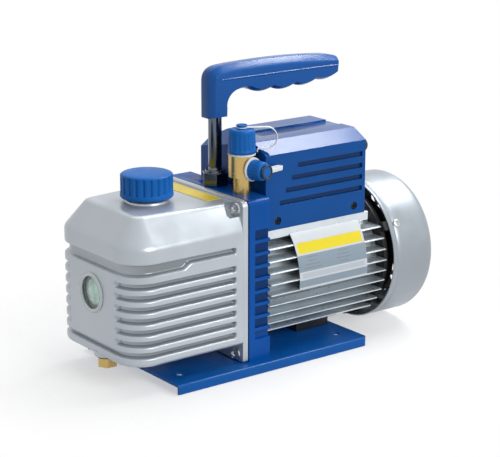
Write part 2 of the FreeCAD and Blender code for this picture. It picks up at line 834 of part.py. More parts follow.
def build_bracket():
    start = bracket_start()
    plate = prism("YZ", rectangle((-d.case_half, d.base_top), (d.case_half, d.plate_top)),
                  d.bracket_plate, (along(start), 0, 0))
    round_off(plate, d.plate_corner, lambda m, e: lengthwise(e) and m.z > 100)
    core = box((along(start), -d.bracket_core_half, d.base_top),
               (along(d.bracket_end), d.bracket_core_half, d.plate_top))
    length = d.bracket_end - start
    head = prism("YZ", rectangle((-d.case_half, d.bracket_head_low), (d.case_half, d.plate_top)),
                 length, (along(start), 0, 0))
    round_off(head, d.plate_corner, lambda m, e: lengthwise(e) and m.z > d.plate_top.value - 1)
    foot = box((along(start), -d.case_half, d.base_top),
               (along(d.bracket_end), d.case_half, d.bracket_foot_top))
    fins = [box((along(start), -d.bracket_fin_half, d.bracket_fin_low + d.bracket_fin_pitch * i),
                (along(d.bracket_end), d.bracket_fin_half,
                 d.bracket_fin_low + d.bracket_fin_pitch * i + d.bracket_fin_thick))
            for i in range(BRACKET_FINS)]
    solid = fuse(plate, core, head, foot, *fins)
    axis = d.axis_z
    shaft_hole = rod(d.shaft_radius + 1.5, d.bracket_end, (along(start - 1), 0, axis), "x")
    seal_seat = rod(d.seal_radius, d.seal_long + 1, (along(start - 1), 0, axis), "x")
    bearing_seat = rod(d.bearing_radius, d.bearing_wide + 1,
                       (along(d.bracket_end - d.bearing_wide), 0, axis), "x")
    passage_z = axis + d.rotor_radius * 0.5
    down = rod(d.port_bore, d.plate_top - passage_z + 1,
               (along(d.inlet_x), d.inlet_y, passage_z))
    across = rod(d.port_bore, d.inlet_x - start + 2.5 + 1,
                 (along(start - 1), d.passage_y, passage_z), "x")
    link = rod(d.port_bore, d.passage_y - d.inlet_y, (along(d.inlet_x), d.inlet_y, passage_z), "y")
    post_socket = rod(d.post_radius, d.plate_top - d.post_low + 1,
                      (along(d.post_x), d.post_y, d.post_low))
    case_holes = [rod(d.case_screw_radius, d.case_screw_deep + 1, (along(start - 1), y, z), "x")
                  for y, z in case_screw_places()]
    bolt_holes = [rod(d.pump_bolt_radius, d.pump_bolt_deep + 1, (along(start - 1), y, z), "x")
                  for y, z in pump_bolt_places()]
    tie_holes = [rod(d.tie_radius, 10, (along(d.bracket_end - 9), y, z), "x")
                 for y, z in tie_places()]
    foot_holes = [rod(d.foot_screw_radius, d.foot_screw_long, (x, y, d.base_top - 1))
                  for x, y in foot_screw_places()[:2]]
    part("pump_bracket", cut(solid, shaft_hole, seal_seat, bearing_seat, down, across, link,
                             post_socket, *case_holes, *bolt_holes, *tie_holes, *foot_holes))
    seal = [(d.shaft_radius + d.running_gap, 0), (d.seal_radius, 0),
            (d.seal_radius, d.seal_long), (d.shaft_radius + d.running_gap, d.seal_long)]
    part("shaft_seal", turned(seal, (along(start), 0, axis), "x"))


def pump_bolt_places():
    """The four corners of the vane stages."""
    return [(d.pump_bolt_y * side, d.axis_z + d.pump_bolt_rise * rise)
            for side in (-1, 1) for rise in (-1, 1)]


def tie_places():
    """Where the motor's tie bolts run, between the fins."""
    reach = d.tie_circle * math.sqrt(0.5)
    return [(reach * side, d.axis_z + reach * rise) for side in (-1, 1) for rise in (-1, 1)]


# ---------------------------------------------------------------- vane stages
def stage_block(start, end, bore=None):
    """A square block of the pump stack, with its bolt holes and one bore."""
    block = box((along(start), -d.block_half, d.axis_z - d.block_rise),
                (along(end), d.block_half, d.axis_z + d.block_rise))
    holes = [rod(d.pump_bolt_radius + d.pump_bolt_gap, size(end) - start + 2,
                 (along(size(start) - 1), y, z), "x") for y, z in pump_bolt_places()]
    radius, centre = bore or (d.shaft_radius + d.running_gap, d.axis_z)
    hole = rod(radius, size(end) - start + 2, (along(size(start) - 1), 0, centre), "x")
    return cut(block, hole, *holes)


def build_stages():
    chamber = (d.chamber_radius, d.axis_z - d.chamber_drop)
    start = bracket_start()
    passage = rod(d.port_bore, 12, (along(start - 11), d.passage_y,
                                    d.axis_z + d.rotor_radius * 0.5), "x")
    part("stage_1_stator", cut(stage_block(d.stage_one_start, start, chamber), passage))
    transfer = rod(d.port_bore, 8, (along(d.centre_plate_start - 1), d.rotor_radius * -0.9,
                                    d.axis_z - d.rotor_radius * 0.6), "x")
    part("centre_plate", cut(stage_block(d.centre_plate_start, d.stage_one_start), transfer))
    valve_x = (d.stage_two_start + d.centre_plate_start) * 0.5
    top = d.axis_z + d.block_rise
    port = rod(d.valve_port, d.block_rise - 10, (along(valve_x), 14, d.axis_z + 12))
    taps = [rod(1.5, 9, (along(valve_x), 14 + side * (d.reed_long * 0.5 - 4), top - 8))
            for side in (-1, 1)]
    part("stage_2_stator", cut(stage_block(d.stage_two_start, d.centre_plate_start, chamber),
                               port, *taps))
    part("front_plate", stage_block(d.front_plate_start, d.stage_two_start))
    for label, low, tall in (("exhaust_reed", top, d.reed_thick),
                             ("reed_stop", top + d.reed_thick + d.reed_gap, d.stop_thick)):
        strip = box((along(valve_x) - d.reed_wide * 0.5, 14 - d.reed_long * 0.5, low),
                    (along(valve_x) + d.reed_wide * 0.5, 14 + d.reed_long * 0.5, low + tall))
        if label == "reed_stop":
            posts = [rod(1.5, 8 + 4, (along(valve_x), 14 + side * (d.reed_long * 0.5 - 4),
                                      top - 8)) for side in (-1, 1)]
            strip = fuse(strip, *posts)
        else:
            strip = cut(strip, *[rod(1.5, 3, (along(valve_x),
                                              14 + side * (d.reed_long * 0.5 - 4), top - 1))
                                 for side in (-1, 1)])
        part(label, strip)
    bolts = []
    length = bracket_start() - d.front_plate_start + d.pump_bolt_deep
    for y, z in pump_bolt_places():
        bolts.append(screw(d.pump_bolt_radius, length, d.pump_bolt_head, d.pump_bolt_head_long,
                           (along(d.front_plate_start), y, z), "x"))
    part("pump_bolts", group(*bolts))


def build_rotors():
    stages = (("1", d.stage_one_start, bracket_start()),
              ("2", d.stage_two_start, d.centre_plate_start))
    springs = []
    for stage, start, end in stages:
        low = start + d.end_gap
        length = size(end) - start - 2 * d.end_gap
        drum = turned([(d.shaft_radius, 0), (d.rotor_radius, 0), (d.rotor_radius, length),
                       (d.shaft_radius, length)], (along(low), 0, d.axis_z), "x")
        slots = [box((along(low - 1), a, d.axis_z - d.slot_thick * 0.5),
                     (along(low + length + 1), b, d.axis_z + d.slot_thick * 0.5))
                 for a, b in ((-d.rotor_radius - 1, -d.slot_floor),
                              (d.slot_floor, d.rotor_radius + 1))]
        part(f"rotor_{stage}", cut(drum, *slots))
        for side, word in ((-1, "a"), (1, "b")):
            near = d.vane_inner * side
            far = d.vane_outer * side
            ends = (far, near) if side < 0 else (near, far)
            vane = box((along(low + d.end_gap * 0.5), ends[0], d.axis_z - d.vane_thick * 0.5),
                       (along(low + length - d.end_gap * 0.5), ends[1],
                        d.axis_z + d.vane_thick * 0.5))
            part(f"vane_{stage}{word}", vane)
            springs.append(vane_spring(along(low + length * 0.5), side))
    part("vane_springs", group(*springs))


def vane_spring(x, side):
    """A small coil spring that pushes a vane out of its slot."""
    free = (d.vane_inner - d.slot_floor).value - 3 * d.running_gap.value
    pitch = (free - 2 * d.spring_wire.value) / 3
    helix = Part.makeHelix(pitch, 3 * pitch, d.spring_radius.value)
    ring = Part.makeCircle(d.spring_wire.value,
                           FreeCAD.Vector(d.spring_radius.value, 0, 0),
                           FreeCAD.Vector(0, 2 * math.pi * d.spring_radius.value, pitch))
    coil = Part.Wire(helix).makePipeShell([Part.Wire(ring)], True, True)
    spring = doc.addObject("Part::Feature", unique("spring"))
    spring.Shape = coil
    y = (d.slot_floor + d.running_gap + d.spring_wire * 1.3) * side
    return place(spring, (x, y, d.axis_z), FreeCAD.Rotation(FreeCAD.Vector(1, 0, 0), -90 * side))


# ---------------------------------------------------------------- shaft and bearings
def build_shaft():
    outline = [(0, d.shaft_start), (d.shaft_radius, d.shaft_start), (d.shaft_radius, d.shaft_step),
               (d.shaft_tail, d.shaft_step), (d.shaft_tail, d.shaft_end), (0, d.shaft_end)]
    part("motor_shaft", turned(outline, (along(0), 0, d.axis_z), "x"))
    outer = []
    inner = []
    balls = []
    wide = d.bearing_wide
    for start in (d.bracket_end - wide, d.motor_end - 3):
        at = (along(start), 0, d.axis_z)
        ring_out = turned([(d.race_outer, 0), (d.bearing_radius, 0), (d.bearing_radius, wide),
                           (d.race_outer, wide)], at, "x")
        ring_in = turned([(d.shaft_radius, 0), (d.race_inner, 0), (d.race_inner, wide),
                          (d.shaft_radius, wide)], at, "x")
        track = doc.addObject("Part::Torus", unique("track"))
        bind(track, "Radius1", d.ball_pitch)
        bind(track, "Radius2", d.race_groove)
        place(track, (along(start + wide * 0.5), 0, d.axis_z), TURN["x"])
        outer.append(cut(ring_out, track))
        inner.append(cut(ring_in, track))
        for i in range(9):
            angle = 2 * math.pi * i / 9
            balls.append(ball(d.ball_radius, (along(start + wide * 0.5),
                                              d.ball_pitch * math.cos(angle),
                                              d.axis_z + d.ball_pitch * math.sin(angle))))
    part("bearing_outer_rings", group(*outer))
    part("bearing_inner_rings", group(*inner))
    part("bearing_balls", group(*balls))


# ---------------------------------------------------------------- motor
def build_motor():
    start = d.bracket_end
    length = d.motor_end - start
    at = (along(start), 0, d.axis_z)
    envelope = rod(d.fin_reach, length, at, "x")
    fins = [box((along(start), -d.fin_reach, d.fin_top - d.fin_pitch * i - d.fin_thick * 0.5),
                (along(d.motor_end), d.fin_reach,
                 d.fin_top - d.fin_pitch * i + d.fin_thick * 0.5)) for i in range(MOTOR_FINS)]
    finned = common(envelope, fuse(*fins))
    core = rod(d.motor_core, length, at, "x")
    pad = box((along(start), -d.pad_half, d.pad_low), (along(d.pad_end), d.pad_half, d.pad_top))
    foot = box((along(d.foot_start), -d.foot_half, d.base_top),
               (along(d.foot_end), d.foot_half, d.foot_rise))
    bore = rod(d.motor_bore, length + 2, (along(start - 1), 0, d.axis_z), "x")
    ties = [rod(d.tie_radius + d.tie_gap, length + 2, (along(start - 1), y, z), "x")
            for y, z in tie_places()]
    taps = [rod(d.foot_screw_radius, d.foot_screw_long, (x, y, d.base_top - 1))
            for x, y in foot_screw_places()[2:]]
    crown = box((along(start), -d.pad_half, d.pad_top),
                (along(d.motor_end), d.pad_half, d.pad_top + 12))
    part("motor_frame", cut(fuse(finned, core, pad, foot), bore, crown, *ties, *taps))

    stack = d.stack_end - d.stack_start
    laminations = turned([(d.stack_inner, 0), (d.motor_bore, 0), (d.motor_bore, stack),
                          (d.stack_inner, stack)], (along(d.stack_start), 0, d.axis_z), "x")
    slots = []
    for i in range(STATOR_SLOTS):
        slot = box((0, -d.stator_slot * 0.5, d.stack_inner - 1),
                   (stack + 2, d.stator_slot * 0.5, d.stator_slot_end))
        slots.append(copy(slot, (along(d.stack_start - 1), 0, d.axis_z),
                          FreeCAD.Rotation(FreeCAD.Vector(1, 0, 0), 360 * i / STATOR_SLOTS)))
    part("stator_core", cut(laminations, *slots))
    coils = []
    for x, reach in ((d.stack_end, d.coil_long), (d.stack_start, -d.coil_long)):
        coils.append(turned([(d.coil_inner, 0), (d.coil_outer, 0),
                             (d.coil_outer - d.coil_taper, reach),
                             (d.coil_inner + d.coil_taper, reach)],
                            (along(x), 0, d.axis_z), "x"))
    part("stator_windings", group(*coils))
    part("rotor_core", turned([(d.shaft_radius, 0), (d.squirrel_radius, 0),
                               (d.squirrel_radius, stack), (d.shaft_radius, stack)],
                              (along(d.stack_start), 0, d.axis_z), "x"))


def build_shield():
    wide = d.bearing_wide
    seat = wide - 3
    outline = [(d.bearing_radius, -3), (d.shield_spigot, -3), (d.shield_spigot, 0),
               (d.shield_radius, 0), (d.shield_radius, d.shield_rim), (32, seat), (24, seat + 3),
               (d.shaft_radius + 1.5, seat + 3), (d.shaft_radius + 1.5, seat),
               (d.bearing_radius, seat)]
    shield = turned(outline, (along(d.motor_end), 0, d.axis_z), "x")
    inner = d.cowl_radius - d.cowl_wall
    lugs = []
    for angle in LUG_ANGLES:
        lug = box((d.lug_start, -d.lug_wide * 0.5, d.shield_radius - 6),
                  (d.lug_end, d.lug_wide * 0.5, inner + 1))
        lugs.append(copy(lug, (along(d.motor_end), 0, d.axis_z),
                         FreeCAD.Rotation(FreeCAD.Vector(1, 0, 0), angle - 90)))
    reach = rod(inner, d.lug_end + 2, (along(d.motor_end - 1), 0, d.axis_z), "x")
    fan_room = rod(d.fan_radius + 3, d.lug_end + 2,
                   (along(d.motor_end + d.shield_rim), 0, d.axis_z), "x")
    lugs = cut(common(fuse(*lugs), reach), fan_room)
    ties = [rod(d.tie_radius + d.tie_gap, 30, (along(d.motor_end - 10), y, z), "x")
            for y, z in tie_places()]
    taps = [radial_rod(d.cowl_screw_radius, 7, angle, inner - 6) for angle in LUG_ANGLES]
    seat_x = along(d.motor_end + d.tie_seat + d.tie_head_tall)
    seats = [rod(d.tie_head + d.tie_head_gap, 10, (seat_x, y, z), "x") for y, z in tie_places()]
    part("end_shield", cut(fuse(shield, lugs), *ties, *taps, *seats))
    bolts = []
    length = d.motor_end - d.bracket_end + d.tie_seat + d.tie_deep
    for y, z in tie_places():
        bolts.append(screw(d.tie_radius, length, d.tie_head, d.tie_head_tall,
                           (seat_x, y, z), "x",
                           FreeCAD.Rotation(FreeCAD.Vector(0, 1, 0), -90)))
    part("tie_bolts", group(*bolts))


def radial_rod(radius, length, angle, start):
    """A rod that points out from the motor's axis under the cowl's screws."""
    reach = size(start)
    turn = FreeCAD.Rotation(FreeCAD.Vector(1, 0, 0), angle - 90)
    return rod(radius, length, (along(d.cowl_screw_x), reach * -math.sin(math.radians(angle - 90)),
                                d.axis_z + reach * math.cos(math.radians(angle - 90))),
               rotation=turn)


def build_fan_and_cowl():
    at = (along(d.fan_start), 0, d.axis_z)
    long = d.fan_end - d.fan_start
    hub = turned([(d.shaft_tail, 0), (d.fan_radius, 0), (d.fan_radius, d.fan_plate),
                  (d.fan_hub, d.fan_plate + 1), (d.fan_hub - 2, long), (d.shaft_tail, long)],
                 at, "x")
    blades = []
    for i in range(FAN_BLADES):
        blade = box((0, -d.fan_blade * 0.5, d.fan_hub - 2), (long - 2, d.fan_blade * 0.5,
                                                            d.fan_radius - 1))
        blades.append(copy(blade, at, FreeCAD.Rotation(FreeCAD.Vector(1, 0, 0),
                                                     360 * i / FAN_BLADES)))
    part("cooling_fan", fuse(hub, *blades))

    at = (along(0), 0, d.axis_z)
    inner = d.cowl_radius - d.cowl_wall
    outer_skin = turned([(0, d.cowl_start), (d.cowl_radius, d.cowl_start),
                         (d.cowl_radius, d.cowl_end), (0, d.cowl_end)], at, "x")
    round_off(outer_skin, d.cowl_round, lambda m, e: m.z > d.cowl_end.value - 1)
    room = turned([(0, d.cowl_start - 1), (inner, d.cowl_start - 1),
                   (inner, d.cowl_end - d.cowl_wall), (0, d.cowl_end - d.cowl_wall)], at, "x")
    round_off(room, d.cowl_round - d.cowl_wall,
              lambda m, e: m.z > d.cowl_end.value - d.cowl_wall.value - 1)
    slots = []
    for total, low, high in ((16, d.grille_inner, (d.grille_inner + d.grille_outer) * 0.5 - 2),
                             (24, (d.grille_inner + d.grille_outer) * 0.5 + 2, d.grille_outer)):
        for i in range(total):
            slot = box((0, -d.grille_slot * 0.5, low), (4, d.grille_slot * 0.5, high))
            slots.append(copy(slot, (along(d.cowl_end - 3), 0, d.axis_z),
                              FreeCAD.Rotation(FreeCAD.Vector(1, 0, 0), 360 * i / total)))
    holes = [radial_rod(d.cowl_screw_radius + 0.2, 6, angle, inner - 2) for angle in LUG_ANGLES]
    part("fan_cowl", cut(outer_skin, room, *slots, *holes))
    screws = []
    for angle in LUG_ANGLES:
        head = radial_rod(d.cowl_screw_head, d.cowl_screw_head_tall, angle, d.cowl_radius)
        shank = radial_rod(d.cowl_screw_radius, 7, angle, d.cowl_radius - 6.5)
        screws.append(fuse(head, shank))
    part("cowl_screws", group(*screws))


# ---------------------------------------------------------------- control box
def box_section(inset):
    """The control box end on: upright sides and a chamfered top."""
    return [(-d.box_half + inset, d.pad_top), (d.box_half - inset, d.pad_top),
            (d.box_half - inset, d.box_shoulder - inset * 0.5),
            (d.box_top_half - inset * 0.5, d.box_top - inset),
            (-d.box_top_half + inset * 0.5, d.box_top - inset),
            (-d.box_half + inset, d.box_shoulder - inset * 0.5)]


def box_screw_places():
    """Two screws on each side of the control box."""
    return [(along(x), d.box_half * side, side) for side in (-1, 1)
            for x in (d.box_screw_front, d.box_screw_rear)]


def build_control_box():
    wall = d.box_wall
    shell = prism("YZ", box_section(size(0)), d.box_end - d.box_start, (along(d.box_start), 0, 0))
    room = prism("YZ", box_section(wall), d.box_end - d.box_start - 2 * wall,
                 (along(d.box_start + wall), 0, -1))
    room = fuse(room, box((along(d.box_start + wall), -d.box_half + wall, d.pad_top - 2),
                          (along(d.box_end - wall), d.box_half - wall, d.pad_top + 2)))
    corner = FreeCAD.Vector(along(d.box_start).value, -d.box_top_half.value, d.box_top.value)
    back = FreeCAD.Vector(along(d.box_bevel_back).value, d.box_top_half.value, d.box_top.value)
    far = FreeCAD.Vector(along(d.box_start).value, d.box_half.value, d.box_bevel_low.value)
    facing = (back - corner).cross(far - corner)
    facing.normalize()
    facing = facing if facing.z > 0 else facing.negative()
    tilt = FreeCAD.Rotation(FreeCAD.Vector(0, 0, 1), facing)
    block = box((-d.box_half, -d.box_half * 2, 0), (d.box_half, d.box_half * 2, d.box_half))
    bevel = copy(block, (corner.x, corner.y, corner.z), tilt)
    inside = corner - facing * wall.value
    inner_block = box((-d.box_half, -d.box_half * 2, 0), (d.box_half, d.box_half * 2, d.box_half))
    inner_bevel = copy(inner_block, (inside.x, inside.y, inside.z), tilt)
    grooves = []
    for side in (-1, 1):
        near = (d.box_half - d.rib_deep) * side
        far = (d.box_half + 1) * side
        low, high = (far, near) if side < 0 else (near, far)
        for i in range(4):
            z = d.rib_low + d.rib_pitch * i
            grooves.append(box((along(d.rib_start + d.rib_lean * i), low, z),
                               (along(d.rib_end), high, z + d.rib_tall)))
    grooves.append(box((along(d.box_bevel_back + 4), -13, d.box_top - 1),
                       (along(d.box_end + 1), 8, d.box_top + 1)))
    wells = []
    for x, y, side in box_screw_places():
        wells.append(rod(d.box_screw_radius + 0.3, 6, (x, y - 3 * side, d.box_screw_z), "y")
                     if side > 0 else
                     rod(d.box_screw_radius + 0.3, 6, (x, y - 3, d.box_screw_z), "y"))
        seat = y - 1.5 if side > 0 else y - 1
        wells.append(rod(d.box_screw_well, 2.5, (x, seat, d.box_screw_z), "y"))
    gland_hole = rod(d.gland_thread, wall + 4, (along(d.box_end - wall - 2), d.gland_y, d.gland_z),
                     "x")
    switch_hole = box((along(d.box_end - wall - 2), d.switch_y - d.switch_half + 1.5,
                       d.switch_z - d.switch_rise + 1.5),
                      (along(d.box_end + 2), d.switch_y + d.switch_half - 1.5,
                       d.switch_z + d.switch_rise - 1.5))
    part("control_box", cut(shell, cut(room, inner_bevel), bevel, *grooves, *wells, gland_hole,
                            switch_hole))
    screws = []
    for x, y, side in box_screw_places():
        head = rod(d.box_screw_well - 0.3, 1.2, (x, y - 1.5 if side > 0 else y + 0.3,
                                                 d.box_screw_z), "y")
        shank = rod(d.box_screw_radius, 5.5, (x, y - 6.5 if side > 0 else y + 1,
                                              d.box_screw_z), "y")
        screws.append(fuse(head, shank))
    part("box_screws", group(*screws))
    length = d.capacitor_end - d.capacitor_start
    part("run_capacitor", turned([(0, 0), (d.capacitor_radius, 0),
                                  (d.capacitor_radius, length - 3),
                                  (d.capacitor_radius - 2, length), (4, length),
                                  (4, length + 5), (0, length + 5)],
                                 (along(d.capacitor_start), d.capacitor_y, d.capacitor_z), "x"))


def build_gland_and_switch():
    rear = along(d.box_end)
    wall = d.box_wall
    at = (rear, d.gland_y, d.gland_z)
    bore = d.gland_bore
    body = turned([(bore, -wall - 4), (d.gland_thread, -wall - 4), (d.gland_thread, 0),
                   (d.gland_dome, 0), (d.gland_dome, d.gland_reach - 3),
                   (bore + 1.6, d.gland_reach), (bore, d.gland_reach)], at, "x")
    nut = cut(hexagon(d.gland_flats, d.gland_nut, at, "x"),
              rod(d.gland_dome, d.gland_nut + 2, (rear - 1, d.gland_y, d.gland_z), "x"))
    part("cord_gland", fuse(body, nut))

    flange = box((rear, d.switch_y - d.switch_half, d.switch_z - d.switch_rise),
                 (rear + d.switch_flange, d.switch_y + d.switch_half,
                  d.switch_z + d.switch_rise))
    body = box((rear - d.switch_deep, d.switch_y - d.switch_half + 1.5,
                d.switch_z - d.switch_rise + 1.5),
               (rear + 1, d.switch_y + d.switch_half - 1.5, d.switch_z + d.switch_rise - 1.5))
    well = box((rear - 9, d.switch_y - d.well_half, d.switch_z - d.well_rise),
               (rear + d.switch_flange + 1, d.switch_y + d.well_half, d.switch_z + d.well_rise))
    reach = d.rocker_half + d.rocker_pin_reach
    holes = rod(d.rocker_pin + 0.1, reach * 2 + 0.2, (rear, d.switch_y - reach - 0.1, d.switch_z),
                "y")
    part("switch_housing", cut(fuse(flange, body), well, holes))
    rise = d.rocker_rise
    outline = [(-6, -3), (1, -rise), (4.2, -rise), (2.2, 0), (4.2, rise), (1, rise), (-6, 3)]
    tilted = []
    for x, z in outline:
        x, z = size(x), size(z)
        tilt = math.radians(10)
        tilted.append((x * math.cos(tilt) - z * math.sin(tilt),
                       x * math.sin(tilt) + z * math.cos(tilt)))
    lever = prism("XZ", tilted, d.rocker_half * 2,
                  (rear, d.switch_y + d.rocker_half, d.switch_z))
    pin = rod(d.rocker_pin, reach * 2, (rear, d.switch_y - reach, d.switch_z), "y")
    part("switch_rocker", fuse(lever, pin))


# ---------------------------------------------------------------- carrying handle
def build_handle():
    part("handle_post", turned([(0, d.post_low), (d.post_radius, d.post_low),
                                (d.post_radius, d.post_top), (0, d.post_top)],
                               (along(d.post_x), d.post_y, 0)))
    at = (along(d.post_x), d.post_y, d.plate_top)
    nut = hexagon(d.nut_flats, d.nut_top - d.plate_top, at)
    collar = rod(d.nut_ring, d.nut_ring_top - d.plate_top, at)
    bore = rod(d.post_radius, 30, (along(d.post_x), d.post_y, d.plate_top - 5))
    part("handle_nut", cut(fuse(nut, collar), bore))
    top, under, tip = d.grip_top, d.grip_under, d.grip_tip
    cusp = under + d.lobe_rise

    def cusp_at(x):
        """Height of the line between the finger lobes, which arches up at both ends."""
        return cusp + d.lobe_arch.value * (x.value - d.lobe_middle.value) ** 2

    last = d.lobe_first + d.lobe_pitch * LOBES
    outline = [
        (along(d.grip_front), d.grip_low), (along(d.grip_inner), d.grip_low),
        (along(d.grip_inner), under - 7), (along(d.grip_inner + 3), under - 1),
        (along(d.grip_inner + 8.5), under + 4), (along(d.grip_inner + 16), under + 6.2),
        (along(d.lobe_first), cusp_at(d.lobe_first)), (along(d.lobe_first + 0.5), under),
        (along(last - 0.5), under), (along(last), cusp_at(last)),
        (along(tip - 0.4), top - 14), (along(tip), top - 9), (along(tip - 1.5), top - 6),
        (along(tip - 10), top - 3.4), (along(tip - 35), top - 0.8),
        (along(d.grip_front + 63), top), (along(d.grip_front + 39), top - 0.1),
        (along(d.grip_front + 20), top - 1), (along(d.grip_front + 8.5), top - 2.6),
        (along(d.grip_front + 3), top - 6.5), (along(d.grip_front), top - 14),
    ]
    lobes = [(along(d.lobe_first), under - 1), (along(d.lobe_first), cusp_at(d.lobe_first))]
    for i in range(LOBES):
        for step in range(1, LOBE_STEPS + 1):
            share = step / LOBE_STEPS
            swell = abs(math.sin(math.pi * share)) ** 0.8
            x = d.lobe_first + d.lobe_pitch * (i + share)
            lobes.append((along(x), cusp_at(x) - d.lobe_swell * swell))
    lobes.append((along(last), under - 1))
    hollow = prism("XZ", lobes, d.grip_half * 4, (0, d.post_y + d.grip_half * 2, 0))
    socket = rod(d.post_radius, d.post_top - d.grip_low + 1,
                 (along(d.post_x), d.post_y, d.grip_low - 1))
    for label, high in (("grip_half_left", d.post_y + d.grip_half), ("grip_half_right", d.post_y)):
        half = prism("XZ", outline, d.grip_half, (0, high, 0))
        side = 1 if label == "grip_half_left" else -1
        outside = d.grip_half.value if side < 0 else 0
        round_off(half, 4, lambda m, e: abs(abs(m.y) - outside) < 0.01 and e.Length > 0,
                  "Chamfer")
        part(label, cut(half, socket, hollow))


# ---------------------------------------------------------------- inlet fitting
def side_turn(extra=0):
    """The side port points to -Y, swung a little towards the motor."""
    swing = FreeCAD.Rotation(FreeCAD.Vector(0, 0, 1), d.side_port_angle.value + extra)
    return swing.multiply(FreeCAD.Rotation(FreeCAD.Vector(1, 0, 0), 90))


def side_point(reach):
    """A place on the side port's axis, given its distance from the fitting's axis."""
    angle = math.radians(d.side_port_angle.value)
    reach = size(reach)
    return (along(d.inlet_x) + reach * math.sin(angle), d.inlet_y - reach * math.cos(angle),
            d.side_port_z)


def build_inlet():
    column = turned([(0, d.plate_top), (d.inlet_neck, d.plate_top),
                     (d.inlet_neck, d.inlet_body_low), (d.inlet_body, d.inlet_body_low),
                     (d.inlet_body, d.inlet_body_top), (d.port_radius, d.inlet_body_top),
                     (d.port_radius, d.inlet_body_top + d.port_long),
                     (0, d.inlet_body_top + d.port_long)], (along(d.inlet_x), d.inlet_y, 0))
    arm = rod(d.side_arm, d.side_port_start, side_point(0), rotation=side_turn())
    port = rod(d.port_radius, d.side_port_start + d.port_long, side_point(0),
               rotation=side_turn())
    down = rod(d.port_bore, d.inlet_body_top + d.port_long - d.plate_top + 2,
               (along(d.inlet_x), d.inlet_y, d.plate_top - 1))
    side = rod(d.port_bore, d.side_port_start + d.port_long + 1, side_point(0),
               rotation=side_turn())
    part("inlet_fitting", cut(fuse(column, arm, port), down, side))

    gap = d.port_cap_gap

    def ring(radius):
        """The strap's eye round a port, end on."""
        return [(d.port_radius, 0), (radius, 0), (radius, d.ring_thick),
                (d.port_radius, d.ring_thick)]

    top_ring = turned(ring(d.ring_radius), (along(d.inlet_x), d.inlet_y, d.inlet_body_top))
    side_ring = turned(ring(d.side_ring_radius), side_point(d.side_port_start),
                       rotation=side_turn())
    part("tether_rings", group(top_ring, side_ring))
    room = d.port_long - d.ring_thick
    base = d.ring_thick + gap
    top_at = (along(d.inlet_x), d.inlet_y, d.inlet_body_top + base)
    side_at = side_point(d.side_port_start + base)
    outward = FreeCAD.Rotation(FreeCAD.Vector(0, 0, 1), -d.top_strap_angle.value)
    for word, at, turn, swing, radius, head_radius, length, low, reach in (
            ("top", top_at, TURN["z"], outward, d.port_cap_radius, d.button_head,
             d.top_cap_long, d.top_strap_low, d.top_strap_reach),
            ("side", side_at, side_turn(), side_turn(), d.side_cap_radius,
             d.side_button_head, d.side_cap_long, d.side_strap_low, d.side_strap_reach)):
        cap = [(d.port_radius + gap, 0), (radius, 0), (radius, length),
               (d.button_radius, length), (d.button_radius, length + d.button_long),
               (0, length + d.button_long), (0, room + gap), (d.port_radius + gap, room + gap)]
        head = [(0, length + 2.2), (head_radius, length + 2.2),
                (head_radius, length + d.button_long), (0, length + d.button_long)]
        part(f"{word}_port_cap", fuse(turned(cap, at, rotation=turn),
                                      turned(head, at, rotation=turn)))
        build_strap(f"{word}_cap_tether", at, swing, radius, length, low, reach)


def build_strap(label, at, turn, cap_radius, length, low, reach):
    """A soft strap that loops from the cap's button back down to the port's ring."""
    high = length + 0.5
    middle = (high + d.strap_thick + low) * 0.5
    radius = (high + d.strap_thick - low) * 0.5
    eye = turned([(d.button_radius + 0.4, high), (d.button_radius + 2.6, high),
                  (d.button_radius + 2.6, high + d.strap_thick),
                  (d.button_radius + 0.4, high + d.strap_thick)], (0, 0, 0))
    half = d.strap_wide * 0.5
    start = cap_radius + d.strap_gap
    centre = cap_radius + 1.2 + reach
    band = cut(rod(radius, d.strap_wide, (centre, -half, middle), "y"),
               rod(radius - d.strap_thick, d.strap_wide + 2, (centre, -half - 1, middle), "y"),
               box((centre - 40, -half - 1, -10), (centre, half + 1, 60)))
    upper = box((d.button_radius + 1.5, -half, high), (centre + 0.5, half, high + d.strap_thick))
    lower = box((start, -half, low), (centre + 0.5, half, low + d.strap_thick))
    drop = box((start, -half, 0), (start + d.strap_thick, half, low + d.strap_thick))
    strap = fuse(eye, band, upper, lower, drop)
    part(label, copy(strap, at, turn))


# ---------------------------------------------------------------- labels
def build_labels():
    outer = rod(d.fin_reach + d.plate_thick, d.plate_end - d.plate_start,
                (along(d.plate_start), 0, d.axis_z), "x")
    start = math.radians(d.plate_low_angle.value)
    stop = math.radians(d.plate_low_angle.value + d.plate_sweep.value)
    far = 90
    wedge = prism("YZ", [(0, d.axis_z), (-far * math.cos(start), d.axis_z + far * math.sin(start)),
                         (-far, d.axis_z + far),
                         (-far * math.cos(stop), d.axis_z + far * math.sin(stop))],
                  200, (along(d.plate_start - 1), 0, 0))
    inner = rod(d.fin_reach, d.plate_end - d.plate_start + 2,
                (along(d.plate_start - 1), 0, d.axis_z), "x")
    part("rating_plate", cut(common(outer, wedge), inner))
    part("caution_label", box((along(d.caution_start), d.caution_low_y, d.case_top),
                              (along(d.caution_end), d.caution_high_y,
                               d.case_top + d.caution_thick)))


def write_parts():
    """Check every object and every piece, then write one file for each piece."""
    doc.recompute()
    for thing in doc.Objects:
        if "Invalid" in thing.State or "Error" in thing.State:
            raise SystemExit(f"{thing.Name} ({thing.Label}) failed: {thing.State}")
    for piece in parts:
        if piece.Shape.isNull() or not piece.Shape.isValid() or not piece.Shape.Solids:
            raise SystemExit(f"{piece.Label} has no valid solid")
    os.makedirs("parts", exist_ok=True)
    for old in os.listdir("parts"):
        os.remove(os.path.join("parts", old))
    for piece in parts:
        piece.Shape.exportStep(f"parts/{piece.Label}.step")
        print(f"{piece.Label}: {len(piece.Shape.Solids)} solid, {piece.Shape.Volume:.0f} mm3")


